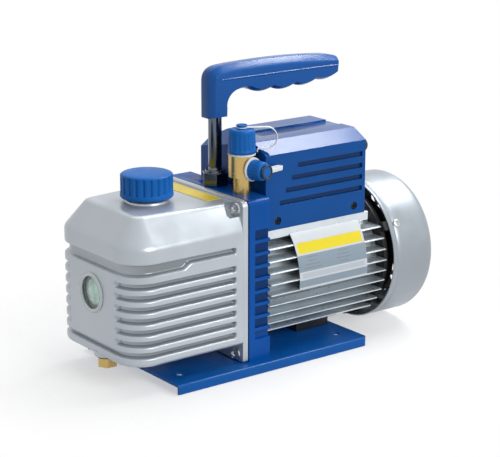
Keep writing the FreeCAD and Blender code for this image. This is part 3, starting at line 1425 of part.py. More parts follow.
for build in (build_base, build_base_screws, build_case, build_gasket_and_screws,
              build_sight_glass, build_drain, build_exhaust, build_bracket, build_stages,
              build_rotors, build_shaft, build_motor, build_shield, build_fan_and_cowl,
              build_control_box, build_gland_and_switch, build_handle, build_inlet,
              build_labels):
    build()
write_parts()
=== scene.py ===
# %% [markdown]
# # A two-stage rotary vane vacuum pump
# The pump stands on a bent steel channel. A ribbed oil case is bolted to a blue pump bracket,
# a finned motor drives the vanes, and a control box and a carrying handle sit on top.
# The solid model gives every size and every moving body. This lesson gives each piece its
# real surface: soft edges, ribs, fins, seams, and the finish that it has in the hand.

# %% Load the solid model
import json
import math

import bmesh
import bpy
from mathutils import Matrix, Vector

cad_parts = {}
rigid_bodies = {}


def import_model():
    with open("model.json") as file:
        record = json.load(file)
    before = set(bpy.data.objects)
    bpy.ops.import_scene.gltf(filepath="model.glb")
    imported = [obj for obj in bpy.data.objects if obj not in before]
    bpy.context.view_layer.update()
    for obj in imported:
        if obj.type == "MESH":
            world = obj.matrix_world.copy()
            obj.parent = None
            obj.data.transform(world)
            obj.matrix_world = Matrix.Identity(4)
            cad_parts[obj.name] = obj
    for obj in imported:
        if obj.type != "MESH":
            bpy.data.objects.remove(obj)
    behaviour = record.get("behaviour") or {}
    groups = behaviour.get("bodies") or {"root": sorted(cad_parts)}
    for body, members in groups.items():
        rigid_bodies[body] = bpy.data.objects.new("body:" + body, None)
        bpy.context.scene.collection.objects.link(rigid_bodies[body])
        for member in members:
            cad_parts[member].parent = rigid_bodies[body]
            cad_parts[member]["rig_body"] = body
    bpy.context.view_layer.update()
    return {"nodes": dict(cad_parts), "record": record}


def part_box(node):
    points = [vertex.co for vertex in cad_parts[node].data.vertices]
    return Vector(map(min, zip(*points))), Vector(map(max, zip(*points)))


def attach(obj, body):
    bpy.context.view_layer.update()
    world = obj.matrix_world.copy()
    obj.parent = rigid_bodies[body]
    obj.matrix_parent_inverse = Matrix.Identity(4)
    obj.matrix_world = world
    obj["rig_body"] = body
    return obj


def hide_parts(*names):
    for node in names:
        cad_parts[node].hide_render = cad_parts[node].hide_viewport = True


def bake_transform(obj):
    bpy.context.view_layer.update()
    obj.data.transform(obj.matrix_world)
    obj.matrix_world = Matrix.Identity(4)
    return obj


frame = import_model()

MM = 0.001
slot_of = {row["node"]: row["material_slot"] for row in frame["record"]["subparts"]}
scene = bpy.context.scene

# %% [markdown]
# ## Working in millimetres
# Pump drawings are in millimetres, so the shapes here are too, and they are scaled once as
# they become meshes. A Blank gathers points and faces: loops skinned into walls, profiles
# spun on a lathe, and outlines drawn out into slabs. Separate lumps may share one Blank.

# %% A blank to build shapes on


def corners(node):
    """A node's lowest and highest corner in millimetres."""
    low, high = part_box(node)
    return low / MM, high / MM


def middle(node):
    """The middle of a node's box in millimetres."""
    low, high = corners(node)
    return (low + high) / 2


def aim(at, direction=(0, 0, 1), roll=0.0):
    """A place to work whose own Z axis points along a direction."""
    turn = Vector(direction).to_track_quat("Z", "Y").to_matrix().to_4x4()
    return Matrix.Translation(Vector(at)) @ turn @ Matrix.Rotation(roll, 4, "Z")


class Blank:
    """Points in millimetres and the faces between them."""

    def __init__(self):
        """Start empty."""
        self.points = []
        self.faces = []

    def add(self, points, faces):
        """Take in points, and faces that count from the first of them."""
        start = len(self.points)
        self.points.extend(Vector(p) for p in points)
        self.faces.extend(tuple(start + i for i in face) for face in faces)
        return self

    def skin(self, loops, ends=(True, True), closed=True):
        """Join a run of loops that have the same number of points."""
        count = len(loops[0])
        faces = []
        for row in range(len(loops) - 1):
            here = row * count
            for i in range(count if closed else count - 1):
                j = (i + 1) % count
                faces.append((here + i, here + j, here + count + j, here + count + i))
        if ends[0]:
            faces.append(tuple(reversed(range(count))))
        if ends[1]:
            last = (len(loops) - 1) * count
            faces.append(tuple(range(last, last + count)))
        return self.add([p for loop in loops for p in loop], faces)

    def spin(self, profile, place, steps=64, waist=None):
        """Turn a profile of (radius, height) round the place's Z axis.

        waist may shave the radius at an angle and a height, for flutes and facets."""
        loops = []
        for radius, height in profile:
            loop = []
            for i in range(steps):
                angle = 2 * math.pi * i / steps
                reach = radius if waist is None else waist(radius, height, angle)
                loop.append(place @ Vector((reach * math.cos(angle),
                                            reach * math.sin(angle), height)))
            loops.append(loop)
        return self.skin(loops, ends=(False, False))

    def slab(self, outline, place, thick):
        """Draw a flat outline out along the place's Z axis."""
        loops = [[place @ Vector((a, b, height)) for a, b in outline] for height in (0, thick)]
        return self.skin(loops)

    def block(self, low, high):
        """A box between two corners."""
        (x0, y0, z0), (x1, y1, z1) = low, high
        return self.slab([(x0, y0), (x1, y0), (x1, y1), (x0, y1)],
                         Matrix.Translation((0, 0, z0)), z1 - z0)

    def mesh(self, name):
        """A mesh in metres, with doubles merged and every face turned outwards."""
        data = bpy.data.meshes.new(name)
        data.from_pydata([p * MM for p in self.points], [], self.faces)
        work = bmesh.new()
        work.from_mesh(data)
        bmesh.ops.remove_doubles(work, verts=work.verts, dist=2e-6)
        bmesh.ops.dissolve_degenerate(work, edges=work.edges, dist=1e-7)
        bmesh.ops.recalc_face_normals(work, faces=work.faces)
        work.to_mesh(data)
        work.free()
        return data


# %% [markdown]
# Turned and drawn parts are full of round corners. An arc is exact where a radius is known,
# a bend leans on a corner where only the run of a curve is known, and an ease makes a slope
# start and stop softly.

# %% Arcs, bends and soft steps


def arc(radius, start, stop, steps, at=(0, 0)):
    """Points on a circle, in degrees, for a profile or an outline."""
    angles = [math.radians(start + (stop - start) * i / steps) for i in range(steps + 1)]
    return [(at[0] + radius * math.cos(a), at[1] + radius * math.sin(a)) for a in angles]


def bend(a, corner, b, steps):
    """A smooth curve from a to b that leans on a corner point."""
    curve = []
    for i in range(steps + 1):
        t = i / steps
        curve.append(tuple((1 - t) ** 2 * p + 2 * t * (1 - t) * q + t * t * r
                           for p, q, r in zip(a, corner, b)))
    return curve


def ease(value):
    """A soft step from 0 to 1."""
    value = min(max(value, 0.0), 1.0)
    return value * value * (3 - 2 * value)


print("a quarter arc:", [(round(a, 1), round(b, 1)) for a, b in arc(10, 0, 90, 2)])

# %% [markdown]
# ## From mesh to finished piece
# A real edge is never sharp: castings and mouldings have a radius, and bent steel has a
# broken edge that catches light. So most pieces get a Bevel modifier on their sharper edges,
# with hardened normals that keep flat faces flat. A helper also turns live modifiers into
# plain mesh, for the steps where a later one needs the result.

# %% Helpers that finish a piece


def settle(thing):
    """Turn an object's live modifiers into plain mesh."""
    bpy.context.view_layer.update()
    graph = bpy.context.evaluated_depsgraph_get()
    data = bpy.data.meshes.new_from_object(thing.evaluated_get(graph))
    thing.modifiers.clear()
    thing.data = data
    return thing


def shade(data, sharp=32):
    """Smooth shading that breaks at edges sharper than this many degrees."""
    data.polygons.foreach_set("use_smooth", [True] * len(data.polygons))
    data.set_sharp_from_angle(angle=math.radians(sharp))


def soften(thing, width, steps=2, limit=32):
    """A Bevel modifier on every edge that is sharper than the limit."""
    bevel = thing.modifiers.new("soft_edges", "BEVEL")
    bevel.width = width * MM
    bevel.segments = steps
    bevel.limit_method = "ANGLE"
    bevel.angle_limit = math.radians(limit)
    bevel.harden_normals = True
    bevel.use_clamp_overlap = True


def loose(name, data):
    """A new object that holds a mesh and isn't a piece yet."""
    thing = bpy.data.objects.new(name, data)
    scene.collection.objects.link(thing)
    return thing


def finished(thing, node, finish, stands_in=True, sharp=32):
    """Give a piece its finish, and the body that its node rides on."""
    thing.data.materials.clear()
    thing.data.materials.append(finish)
    shade(thing.data, sharp)
    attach(thing, frame["nodes"][node]["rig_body"])
    if stands_in:
        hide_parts(node)
    print(f"{thing.name}: {len(thing.data.polygons)} faces")
    return thing


def shaped(blank, name, node, finish, **extra):
    """Make a finished piece straight from a blank."""
    return finished(loose(name, blank.mesh(name)), node, finish, **extra)


def mark_shade_depth(thing, how_deep):
    """Store how deep each point lies in a groove, for painted shade: 0 on a crest, 1 at the bottom."""
    store = thing.data.attributes.new("recess", "FLOAT", "POINT")
    for point, entry in zip(thing.data.vertices, store.data):
        entry.value = min(max(how_deep(point.co / MM), 0.0), 1.0)


def from_solid(node):
    """A merged copy of a CAD node's mesh, with its flat faces in one piece."""
    data = frame["nodes"][node].data.copy()
    work = bmesh.new()
    work.from_mesh(data)
    bmesh.ops.remove_doubles(work, verts=work.verts, dist=2e-6)
    bmesh.ops.dissolve_limit(work, angle_limit=math.radians(0.8), verts=work.verts,
                             edges=work.edges, delimit={"NORMAL"})
    work.to_mesh(data)
    work.free()
    return data


def cut(thing, cutter):
    """Cut an object out of a piece, keep the plain result and throw the cutter away."""
    step = thing.modifiers.new("cut", "BOOLEAN")
    step.operation = "DIFFERENCE"
    step.solver = "EXACT"
    step.object = cutter
    settle(thing)
    bpy.data.objects.remove(cutter)


def carve(thing, *tools):
    """Cut blanks out of a piece."""
    for tool in tools:
        cut(thing, loose(thing.name + "_cutter", tool.mesh(thing.name + "_cutter")))
    return thing


# %% [markdown]
# ## One helper for every node
# Shaders and Geometry Nodes are both wired from nodes, and each node needs its settings, a
# few values and a few links. One helper does all three: an input that is given a socket is
# linked to it, and an input that is given anything else keeps it as its value.

# %% Add a node


def add_node(tree, kind, *values, settings=(), **inputs):
    """A new node. Its inputs, by place or by name, take a value or a link from a socket."""
    node = tree.nodes.new(kind)
    for label, value in dict(settings).items():
        setattr(node, label, value)
    chosen = list(zip(node.inputs, values))
    chosen += [(node.inputs[label.replace("_", " ")], value) for label, value in inputs.items()]
    for socket, value in chosen:
        if isinstance(value, bpy.types.NodeSocket):
            tree.links.new(value, socket)
        else:
            socket.default_value = value
    return node


def math_step(tree, operation, *values):
    """The result of a Math node."""
    return add_node(tree, "ShaderNodeMath", *values, settings={"operation": operation}).outputs[0]


def mixed(tree, factor, under, over, how="MIX"):
    """One colour laid over another by a factor."""
    return add_node(tree, "ShaderNodeMix", settings={"data_type": "RGBA", "blend_type": how},
                    Factor=factor, A=under, B=over).outputs["Result"]


print("helpers for nodes:", add_node.__name__, math_step.__name__, mixed.__name__)

# %% [markdown]
# ## Node groups that many finishes share
# Paint, casting and moulded plastic all vary a little: in shade, in gloss, and in the fine
# relief of the surface. Small shader groups make those variations from noise in object
# coordinates, so a pattern stays put on its piece. Each material places them with its own
# sizes.

# %% Shared shader groups


def shader_group(name, inputs, out_label, out_kind="Float"):
    """An empty shader group with named inputs and one output."""
    group = bpy.data.node_groups.new(name, "ShaderNodeTree")
    for label, kind, value in inputs:
        socket = group.interface.new_socket(label, in_out="INPUT", socket_type="NodeSocket" + kind)
        socket.default_value = value
    group.interface.new_socket(out_label, in_out="OUTPUT", socket_type="NodeSocket" + out_kind)
    return group, group.nodes.new("NodeGroupInput").outputs


def close(group, result):
    """Send a result out of a shader group."""
    add_node(group, "NodeGroupOutput", result)
    return group


def noise(group, scale, detail, vector=None):
    """Noise in object coordinates, or in a vector made from them."""
    where = vector or add_node(group, "ShaderNodeTexCoord").outputs["Object"]
    return add_node(group, "ShaderNodeTexNoise", Vector=where, Scale=scale,
                    Detail=detail).outputs["Fac"]


def spread(group, value, low, high):
    """Map noise, which mostly lies between 0.3 and 0.7, onto low to high."""
    return add_node(group, "ShaderNodeMapRange", Value=value, From_Min=0.3, From_Max=0.7,
                    To_Min=low, To_Max=high).outputs["Result"]


def make_shade_drift():
    """A colour that drifts lighter and darker across a piece."""
    group, given = shader_group("shade_drift", [
        ("Color", "Color", (0.5, 0.5, 0.5, 1)), ("Amount", "Float", 0.1),
        ("Scale", "Float", 20.0)], "Color", "Color")
    low = math_step(group, "SUBTRACT", 1.0, given["Amount"])
    high = math_step(group, "ADD", 1.0, given["Amount"])
    level = spread(group, noise(group, given["Scale"], 4.0), low, high)
    tint = add_node(group, "ShaderNodeVectorMath", given["Color"], Scale=level,
                    settings={"operation": "SCALE"})
    return close(group, tint.outputs["Vector"])


def make_gloss_drift():
    """A roughness that wanders between two values."""
    group, given = shader_group("gloss_drift", [
        ("Smooth", "Float", 0.3), ("Rough", "Float", 0.5), ("Scale", "Float", 60.0)], "Roughness")
    cloud = noise(group, given["Scale"], 5.0)
    return close(group, spread(group, cloud, given["Smooth"], given["Rough"]))


def make_skin_relief():
    """The fine height of a cast, painted or moulded skin: coarse swell and fine grain."""
    group, given = shader_group("skin_relief", [
        ("Grain", "Float", 1500.0), ("Swell", "Float", 120.0), ("Mix", "Float", 0.3)], "Height")
    mix = add_node(group, "ShaderNodeMix", settings={"data_type": "FLOAT"},
                   Factor=given["Mix"], A=noise(group, given["Grain"], 2.0),
                   B=noise(group, given["Swell"], 2.0))
    return close(group, mix.outputs["Result"])


def make_drawn_lines():
    """Fine lines left by brushing, turning or extruding, along one axis."""
    group, given = shader_group("drawn_lines", [
        ("Stretch", "Vector", (1, 1, 1)), ("Scale", "Float", 800.0)], "Height")
    where = add_node(group, "ShaderNodeTexCoord")
    squeeze = add_node(group, "ShaderNodeVectorMath", where.outputs["Object"], given["Stretch"],
                       settings={"operation": "MULTIPLY"})
    return close(group, noise(group, given["Scale"], 2.0, squeeze.outputs["Vector"]))


SHADE_DRIFT = make_shade_drift()
GLOSS_DRIFT = make_gloss_drift()
SKIN_RELIEF = make_skin_relief()
DRAWN_LINES = make_drawn_lines()
print("shader groups", [g.name for g in bpy.data.node_groups])

# %% [markdown]
# ## One recipe for the plain finishes
# Enamel, cast aluminium, zinc plate and moulded plastic differ in numbers more than in
# kind. One function builds the shader: a drifting colour, a drifting roughness, and a skin
# relief into a Bump node. Values that don't vary are set straight on the shader.

# %% The finish function


def placed(tree, group, **values):
    """Place a shader group and set its inputs."""
    return add_node(tree, "ShaderNodeGroup", settings={"node_tree": group}, **values)


def new_material(name, **shader):
    """A material, its tree, and its main shader with these values."""
    made = bpy.data.materials.new(name)
    made.use_nodes = True
    base = made.node_tree.nodes["Principled BSDF"]
    for label, value in shader.items():
        base.inputs[label.replace("_", " ")].default_value = value
    return made, made.node_tree, base


def relief_into(tree, base, height, strength, distance):
    """Let a height roughen the main shader through a Bump node."""
    bump = add_node(tree, "ShaderNodeBump", Strength=strength, Distance=distance * MM,
                    Height=height)
    tree.links.new(bump.outputs["Normal"], base.inputs["Normal"])


def finish(name, colour, metallic=0.0, gloss=(0.35, 0.45), drift=(0.06, 25.0),
           relief=(1500.0, 120.0, 0.3), depth=0.02, lines=None, **shader):
    """A material from drifting colour, drifting gloss and fine relief."""
    made, tree, base = new_material(name, Metallic=metallic, **shader)
    paint = placed(tree, SHADE_DRIFT, Color=(*colour, 1), Amount=drift[0], Scale=drift[1])
    tree.links.new(paint.outputs["Color"], base.inputs["Base Color"])
    sheen = placed(tree, GLOSS_DRIFT, Smooth=gloss[0], Rough=gloss[1], Scale=drift[1] * 4)
    tree.links.new(sheen.outputs["Roughness"], base.inputs["Roughness"])
    if lines is None:
        grain = placed(tree, SKIN_RELIEF, Grain=relief[0], Swell=relief[1], Mix=relief[2])
    else:
        grain = placed(tree, DRAWN_LINES, Stretch=lines[0], Scale=lines[1])
    relief_into(tree, base, grain.outputs["Height"], 0.5, depth)
    return made


print("a finish places", SHADE_DRIFT.name, GLOSS_DRIFT.name, "and a relief")

# %% [markdown]
# ## The finishes, slot by slot
# The base, bracket and box are sprayed blue enamel with a clear, slightly rippled gloss.
# The oil case is cast and sprayed satin silver. The motor frame is bare extruded aluminium,
# drawn along its length. Caps and grip are moulded plastic with a fine spark texture.

# %% Finishes of the outside
finishes = {
    "base_blue": finish("blue_enamel_base", (0.001, 0.088, 0.345), gloss=(0.28, 0.38),
                        relief=(1100.0, 240.0, 0.4), depth=0.012, Coat_Weight=0.12,
                        Coat_Roughness=0.12, Specular_IOR_Level=0.12),
    "bracket_blue": finish("blue_enamel_casting", (0.0, 0.078, 0.352), gloss=(0.30, 0.42),
                           relief=(1100.0, 240.0, 0.4), depth=0.012, Coat_Weight=0.1,
                           Coat_Roughness=0.18, Specular_IOR_Level=0.1),
    "box_blue": finish("blue_box_gloss", (0.0, 0.073, 0.300), gloss=(0.17, 0.23),
                       relief=(900.0, 150.0, 0.3), depth=0.005, Coat_Weight=0.12,
                       Coat_Roughness=0.12, Specular_IOR_Level=0.12),
    "grip_blue": finish("blue_moulded_grip", (0.0, 0.083, 0.335), gloss=(0.22, 0.30),
                        relief=(1800.0, 300.0, 0.3), depth=0.002, Coat_Weight=0.2,
                        Coat_Roughness=0.14, Specular_IOR_Level=0.18),
    "cap_blue": finish("blue_moulded_caps", (0.003, 0.125, 0.450), gloss=(0.38, 0.5),
                       relief=(1700.0, 300.0, 0.3), depth=0.015, Specular_IOR_Level=0.2),
    "case_silver": finish("cast_silver_satin", (0.50, 0.54, 0.58), metallic=0.55,
                          gloss=(0.30, 0.38), relief=(1300.0, 260.0, 0.4), depth=0.03,
                          drift=(0.04, 18.0)),
    "zinc_steel": finish("zinc_plate", (0.62, 0.63, 0.62), metallic=0.95, gloss=(0.2, 0.34),
                         drift=(0.1, 120.0), depth=0.01),
    "dark_steel": finish("blackened_steel", (0.02, 0.02, 0.022), metallic=0.8,
                         gloss=(0.35, 0.5), drift=(0.2, 150.0)),
    "gasket": finish("black_rubber", (0.012, 0.012, 0.013), gloss=(0.6, 0.75),
                     drift=(0.2, 90.0), depth=0.05),
    "bezel": finish("bright_bezel", (0.40, 0.44, 0.45), metallic=0.9, gloss=(0.16, 0.26),
                    drift=(0.05, 90.0), depth=0.01),
    "brass": finish("turned_brass", (0.55, 0.385, 0.145), metallic=0.95, gloss=(0.2, 0.3),
                    drift=(0.04, 60.0), depth=0.004, lines=((1, 1, 14), 700.0)),
    "filter": finish("filter_felt", (0.55, 0.52, 0.44), gloss=(0.8, 0.95),
                     drift=(0.15, 150.0), relief=(900.0, 300.0, 0.4), depth=0.3),
}
print("outside finishes", len(finishes))

# %% Finishes of the inside, the motor and the small parts
finishes.update({
    "pump_iron": finish("ground_iron", (0.30, 0.30, 0.31), metallic=0.9, gloss=(0.3, 0.45),
                        drift=(0.1, 60.0), depth=0.02, lines=((1, 12, 1), 600.0)),
    "rotor_steel": finish("ground_steel", (0.48, 0.48, 0.49), metallic=0.95,
                          gloss=(0.16, 0.28), drift=(0.06, 80.0), depth=0.01,
                          lines=((14, 1, 1), 600.0)),
    "vane": finish("vane_composite", (0.07, 0.045, 0.03), gloss=(0.45, 0.6),
                   drift=(0.25, 200.0), depth=0.04, lines=((1, 10, 1), 500.0)),
    "motor_aluminium": finish("extruded_aluminium", (0.68, 0.74, 0.78), metallic=0.75,
                              gloss=(0.26, 0.36), drift=(0.05, 40.0), depth=0.01,
                              lines=((0.06, 1, 1), 900.0)),
    "laminations": finish("stacked_laminations", (0.16, 0.16, 0.17), metallic=0.8,
                          gloss=(0.4, 0.55), drift=(0.15, 90.0), depth=0.25,
                          lines=((10, 0.2, 0.2), 300.0)),
    "copper": finish("lacquered_copper", (0.50, 0.16, 0.05), metallic=0.8,
                     gloss=(0.25, 0.4), drift=(0.2, 140.0), depth=0.3,
                     lines=((6, 0.4, 0.4), 250.0)),
    "shield_black": finish("black_enamel_shield", (0.010, 0.010, 0.011), gloss=(0.3, 0.42),
                           relief=(1100.0, 260.0, 0.5), depth=0.05),
    "fan_plastic": finish("black_fan_plastic", (0.014, 0.014, 0.015), gloss=(0.45, 0.6),
                          drift=(0.2, 70.0)),
    "cowl_silver": finish("sprayed_cowl_silver", (0.34, 0.375, 0.41), metallic=0.65,
                          gloss=(0.32, 0.42), drift=(0.04, 22.0),
                          relief=(1500.0, 150.0, 0.4), depth=0.03),
    "capacitor": finish("capacitor_sleeve", (0.60, 0.60, 0.62), metallic=0.7,
                        gloss=(0.25, 0.4), drift=(0.05, 60.0)),
    "black_plastic": finish("black_moulding", (0.012, 0.012, 0.013), gloss=(0.4, 0.55),
                            drift=(0.2, 80.0), relief=(1800.0, 300.0, 0.3), depth=0.05),
    "rocker": finish("black_rocker", (0.016, 0.016, 0.018), gloss=(0.25, 0.35),
                     drift=(0.2, 80.0)),
    "post_chrome": finish("dark_chrome", (0.12, 0.135, 0.155), metallic=1.0,
                          gloss=(0.10, 0.17), drift=(0.08, 60.0), depth=0.01,
                          lines=((1, 1, 16), 500.0)),
    "strap_white": finish("white_strap", (0.78, 0.80, 0.82), gloss=(0.35, 0.5),
                          drift=(0.05, 60.0), Subsurface_Weight=0.25,
                          Subsurface_Scale=0.002),
})
print("all finishes", len(finishes))

# %% [markdown]
# Grooves, pockets and the motor tube between its fins are darkened with painted shade. Some pieces
# store how deep each point lies in a groove, and their finishes get darker there, down to the share
# given here.

# %% Paint shade into the grooves


def painted_groove_shade(material, least):
    """Painted shade: the colour falls where the piece stores a recess."""
    tree = material.node_tree
    base = tree.nodes["Principled BSDF"]
    colour = base.inputs["Base Color"].links[0].from_socket
    recess = add_node(tree, "ShaderNodeAttribute", settings={"attribute_name": "recess"})
    shadow = mixed(tree, recess.outputs["Fac"], colour, (least, least, least, 1), "MULTIPLY")
    tree.links.new(shadow, base.inputs["Base Color"])


# Painted shade: each finish listed here is darkened where its piece stores a recess.
GROOVE_SHADE = {"case_silver": 0.5, "bracket_blue": 0.42, "box_blue": 0.42,
              "motor_aluminium": 0.3}
for slot, least in GROOVE_SHADE.items():
    painted_groove_shade(finishes[slot], least)
print("darker in grooves", list(GROOVE_SHADE))

# %% [markdown]
# ## The oil case
# The case is a die casting: seven grooves wrap round its sides to cool the oil, the front
# keeps a plain panel for the sight glass, and a bevelled hood carries the filler neck. It
# could be cut from a block, but a casting has no hard edges, so it is skinned from level
# loops instead. Every loop has the same stations, and a groove is only a depth that depends
# on how far round, and how high, a point sits.

# %% The case's stations
case_low, case_high = corners("oil_case")
FLANGE = 5.7
BODY_END = case_high.x - FLANGE
HALF = case_high.y
CORNER = 24.5
FLOOR = 24.5
BAND = 122.6
HOOD = 145.0
PANEL = HALF - CORNER
HOOD_FRONT = 18.0
HOOD_FRONT_HALF = 39.0
HOOD_REAR_HALF = 49.5


def marks(start, stop, step):
    """Evenly spaced marks from start to stop, both included."""
    count = max(1, round(abs(stop - start) / step))
    return [start + (stop - start) * i / count for i in range(count + 1)]


def one_side():
    """Stations from the flange to the middle of the front: ('side' | 'corner' | 'front', t)."""
    side_run = BODY_END - case_low.x - CORNER
    runs = [("side", t / side_run) for t in
            marks(0, 11, 0.55) + marks(11, 48, 3.7)[1:] + marks(48, 60, 1.0)[1:]
            + marks(60, side_run, 3.2)[1:]]
    runs += [("corner", t) for t in marks(0, 1, 1 / 22)[1:]]
    runs += [("front", t / PANEL) for t in marks(0, 5, 0.5)[1:] + marks(5, PANEL, 3.6)[1:]]
    return runs


STATIONS = [(kind, t, -1) for kind, t in one_side()]
STATIONS += [(kind, t, 1) for kind, t in reversed(one_side()[:-1])]


def plan_point(kind, t, side, front, half_front, half_rear, corner):
    """A station's place on a plan that may taper, and its outward direction."""
    taper = (half_rear - half_front) / (BODY_END - front)
    if kind == "side":
        x = BODY_END + (front + corner - BODY_END) * t
        y = half_front + (x - front) * taper
        return Vector((x, y * side, 0)), Vector((-taper, side, 0)).normalized()
    turn = math.radians(90 * t)
    if kind == "front":
        y = (half_front - corner) * (1 - t)
        return Vector((front, y * side, 0)), Vector((-1, 0, 0))
    centre = Vector((front + corner, half_front + corner * taper - corner, 0))
    out = Vector((-math.sin(turn), math.cos(turn), 0))
    point = centre + out * corner
    point.y -= corner * taper * t
    return Vector((point.x, point.y * side, 0)), Vector((out.x, out.y * side, 0))


def walk(kind, t):
    """Distance from the flange along the wall, and x where it is on the side."""
    side_run = BODY_END - case_low.x - CORNER
    if kind == "side":
        return side_run * t
    if kind == "corner":
        return side_run + CORNER * math.pi / 2 * t
    return side_run + CORNER * math.pi / 2 + PANEL * t


print("stations round the case", len(STATIONS))

# %% [markdown]
# Each groove is a rounded slot. Its roof is steep and its sill slopes, as the mould needs
# to slide off, so light from above catches every sill and leaves the roof dark. The lowest
# and the highest groove run right across the front, and the highest one steps down halfway.

# %% The grooves
GROOVE_LOW = 31.0
PITCH = 9.55
GROOVE_TALL = 6.3
DEPTH = 4.0
JOG = 4.4
JOG_WALK = BODY_END - (case_low.x + 55.0)
SIDE_END = 6.2
GROOVE_COUNT = 7
TOP_GROOVE = 103.8
TOP_GROOVE_ROOF = 110.1
NOSE = 2.6
PANEL_WALK = walk("front", 0)


def ramp(distance, width):
    """A soft step that is complete after a width."""
    return ease(distance / width)


def slot_depth(along, height, low, high, start, stop, nose):
    """Depth of a round-ended slot; nose is the radius of its end by the flange."""
    from_start = along - start
    from_stop = stop - along
    if from_start <= 0 or from_stop <= 0:
        return 0.0
    pinch = 0.0
    if from_start < nose:
        pinch = nose - math.sqrt(max(nose ** 2 - (nose - from_start) ** 2, 0))
    sill = ramp(height - low - pinch, 2.7)
    roof = ramp(high - pinch - height, 1.3)
    return DEPTH * min(sill, roof) * ramp(from_start, 1.4) * ramp(from_stop, 1.2)


def groove_depth(kind, t, height):
    """How deep the grooves go at a station and a height."""
    along = walk(kind, t)
    whole = walk("front", 1) * 2
    depth = 0.0
    for i in range(GROOVE_COUNT):
        low = GROOVE_LOW + PITCH * i
        if not low < height < low + GROOVE_TALL:
            continue
        stop = whole if i == 0 else PANEL_WALK + 0.6
        depth = slot_depth(along, height, low, low + GROOVE_TALL, SIDE_END, stop, NOSE)
    step = ramp(along - JOG_WALK + 4, 9)
    low = TOP_GROOVE - JOG * step
    if low < height < TOP_GROOVE_ROOF:
        depth = slot_depth(along, height, low, TOP_GROOVE_ROOF, SIDE_END, whole, NOSE)
    return depth


print("deepest point of a groove, mm:", groove_depth("side", 0.5, GROOVE_LOW + 3.5))

# %% Skin the case
def case_loops():
    """The case's levels, from the floor up: a wall height, or a share of the hood's slope."""
    loops = []
    fillet = 3.2
    for x, z in arc(fillet, 270, 180, 5, (fillet, FLOOR + fillet))[:-1]:
        loops.append(("wall", x, z))
    step = PITCH / 15
    height = FLOOR + fillet
    while height < BAND - 2.2:
        loops.append(("wall", 0.0, height))
        height += step
    shoulder = bend((0.0, BAND - 2.2), (0.0, BAND), (0.13, BAND + 0.13 * (HOOD - BAND)), 6)
    slope = [(t, BAND + t * (HOOD - BAND)) for t in marks(0.2, 0.86, 0.11)]
    crest = bend((0.9, BAND + 0.9 * (HOOD - BAND)), (1.0, HOOD), (1.22, HOOD), 6)
    loops += [("hood", share, z) for share, z in shoulder + slope + crest]
    return loops


case = Blank()
rows = []
for form, share, height in case_loops():
    row = []
    for kind, t, side in STATIONS:
        low_point, low_out = plan_point(kind, t, side, case_low.x, HALF, HALF, CORNER)
        if form == "wall":
            point = low_point - low_out * (share + groove_depth(kind, t, height))
        else:
            high_point, _ = plan_point(kind, t, side, case_low.x + HOOD_FRONT,
                                       HOOD_FRONT_HALF, HOOD_REAR_HALF, 7.0)
            point = low_point.lerp(high_point, share)
            point.x = min(point.x, BODY_END)
        row.append(Vector((point.x, point.y, height)))
    rows.append(row)
case.skin(rows)
body = loose("oil_case_shell", case.mesh("oil_case_shell"))
print("case skin", len(body.data.polygons), "faces")

# %% [markdown]
# The sight glass seat and the two upper screw pockets are machined into the casting, so
# they are cut with Boolean modifiers, and so is the oil chamber, in which the pump turns.
# The flange, the filler neck and the drain boss are lumps of the same piece, with their
# own soft edges.

# %% Cut the seats, add the flange, the neck and the drain boss
ALONG = (1, 0, 0)
FORWARD = (-1, 0, 0)
SIGHT = Vector((case_low.x, 0, middle("sight_glass_bezel").z))
SCREW_Y = 49.5
SCREW_HIGH = 139.5
SCREW_LOW = 14.5
CHAMBER_TOP = 112
seat = Blank().spin([(0, -2), (15.5, -2), (15.5, 4.5), (0, 4.5)], aim(SIGHT, ALONG), 96)
pockets = [Blank().spin([(0, 0), (4.5, 0), (7.0, 2.5), (7.0, 14), (0, 14)],
                        aim((BODY_END - 12, SCREW_Y * side, SCREW_HIGH), ALONG), 40)
           for side in (-1, 1)]
cavity = Blank().block((case_low.x + 9, -46, FLOOR + 6.5), (case_high.x + 2, 46, CHAMBER_TOP))
carve(body, seat, *pockets, cavity)

trim = Blank()
flange_outline = []
for start, y, z in ((0, HALF - 5, case_high.z - 5), (90, -HALF + 5, case_high.z - 5)):
    flange_outline += arc(5, start, start + 90, 6, (y, z))
flange_outline += [(-HALF, case_low.z + 1.5), (-HALF + 1.5, case_low.z),
                   (HALF - 1.5, case_low.z), (HALF, case_low.z + 1.5)]


def flange_ring(inset, x):
    """The flange's outline, drawn in a little, at one x."""
    centre = (case_high.z + case_low.z) / 2
    tall = (case_high.z - case_low.z) / 2
    return [Vector((x, y * (1 - inset / HALF), centre + (z - centre) * (1 - inset / tall)))
            for y, z in flange_outline]


rear = case_high.x
trim.skin([flange_ring(1.1, BODY_END), flange_ring(0.35, BODY_END + 0.3),
           flange_ring(0, BODY_END + 1.1), flange_ring(0, rear - 0.7),
           flange_ring(0.6, rear)])
neck_at = middle("exhaust_cap")
neck_at.z = 0
NECK_TOP = 147.0
NECK_BORE = 14
BOSS_FACE = 22.6
BOSS_BORE = 5.1
trim.spin([(NECK_BORE, HOOD - 6), (18.6, HOOD - 6), (18.6, HOOD + 0.4), (18.0, HOOD + 1.6),
           (17.6, NECK_TOP), (NECK_BORE, NECK_TOP), (NECK_BORE, HOOD - 6)], aim(neck_at), 72)
drain_at = middle("drain_plug")
trim.spin([(BOSS_BORE, FLOOR + 3), (11, FLOOR + 3), (11, BOSS_FACE + 0.6), (10.4, BOSS_FACE),
           (BOSS_BORE, BOSS_FACE), (BOSS_BORE, FLOOR + 3)],
          aim((drain_at.x, drain_at.y, 0)), 48)
lumps = loose("oil_case_lumps", trim.mesh("oil_case_lumps"))
carve(lumps, cavity)
both = bmesh.new()
both.from_mesh(body.data)
both.from_mesh(lumps.data)
both.to_mesh(body.data)
both.free()
bpy.data.objects.remove(lumps)
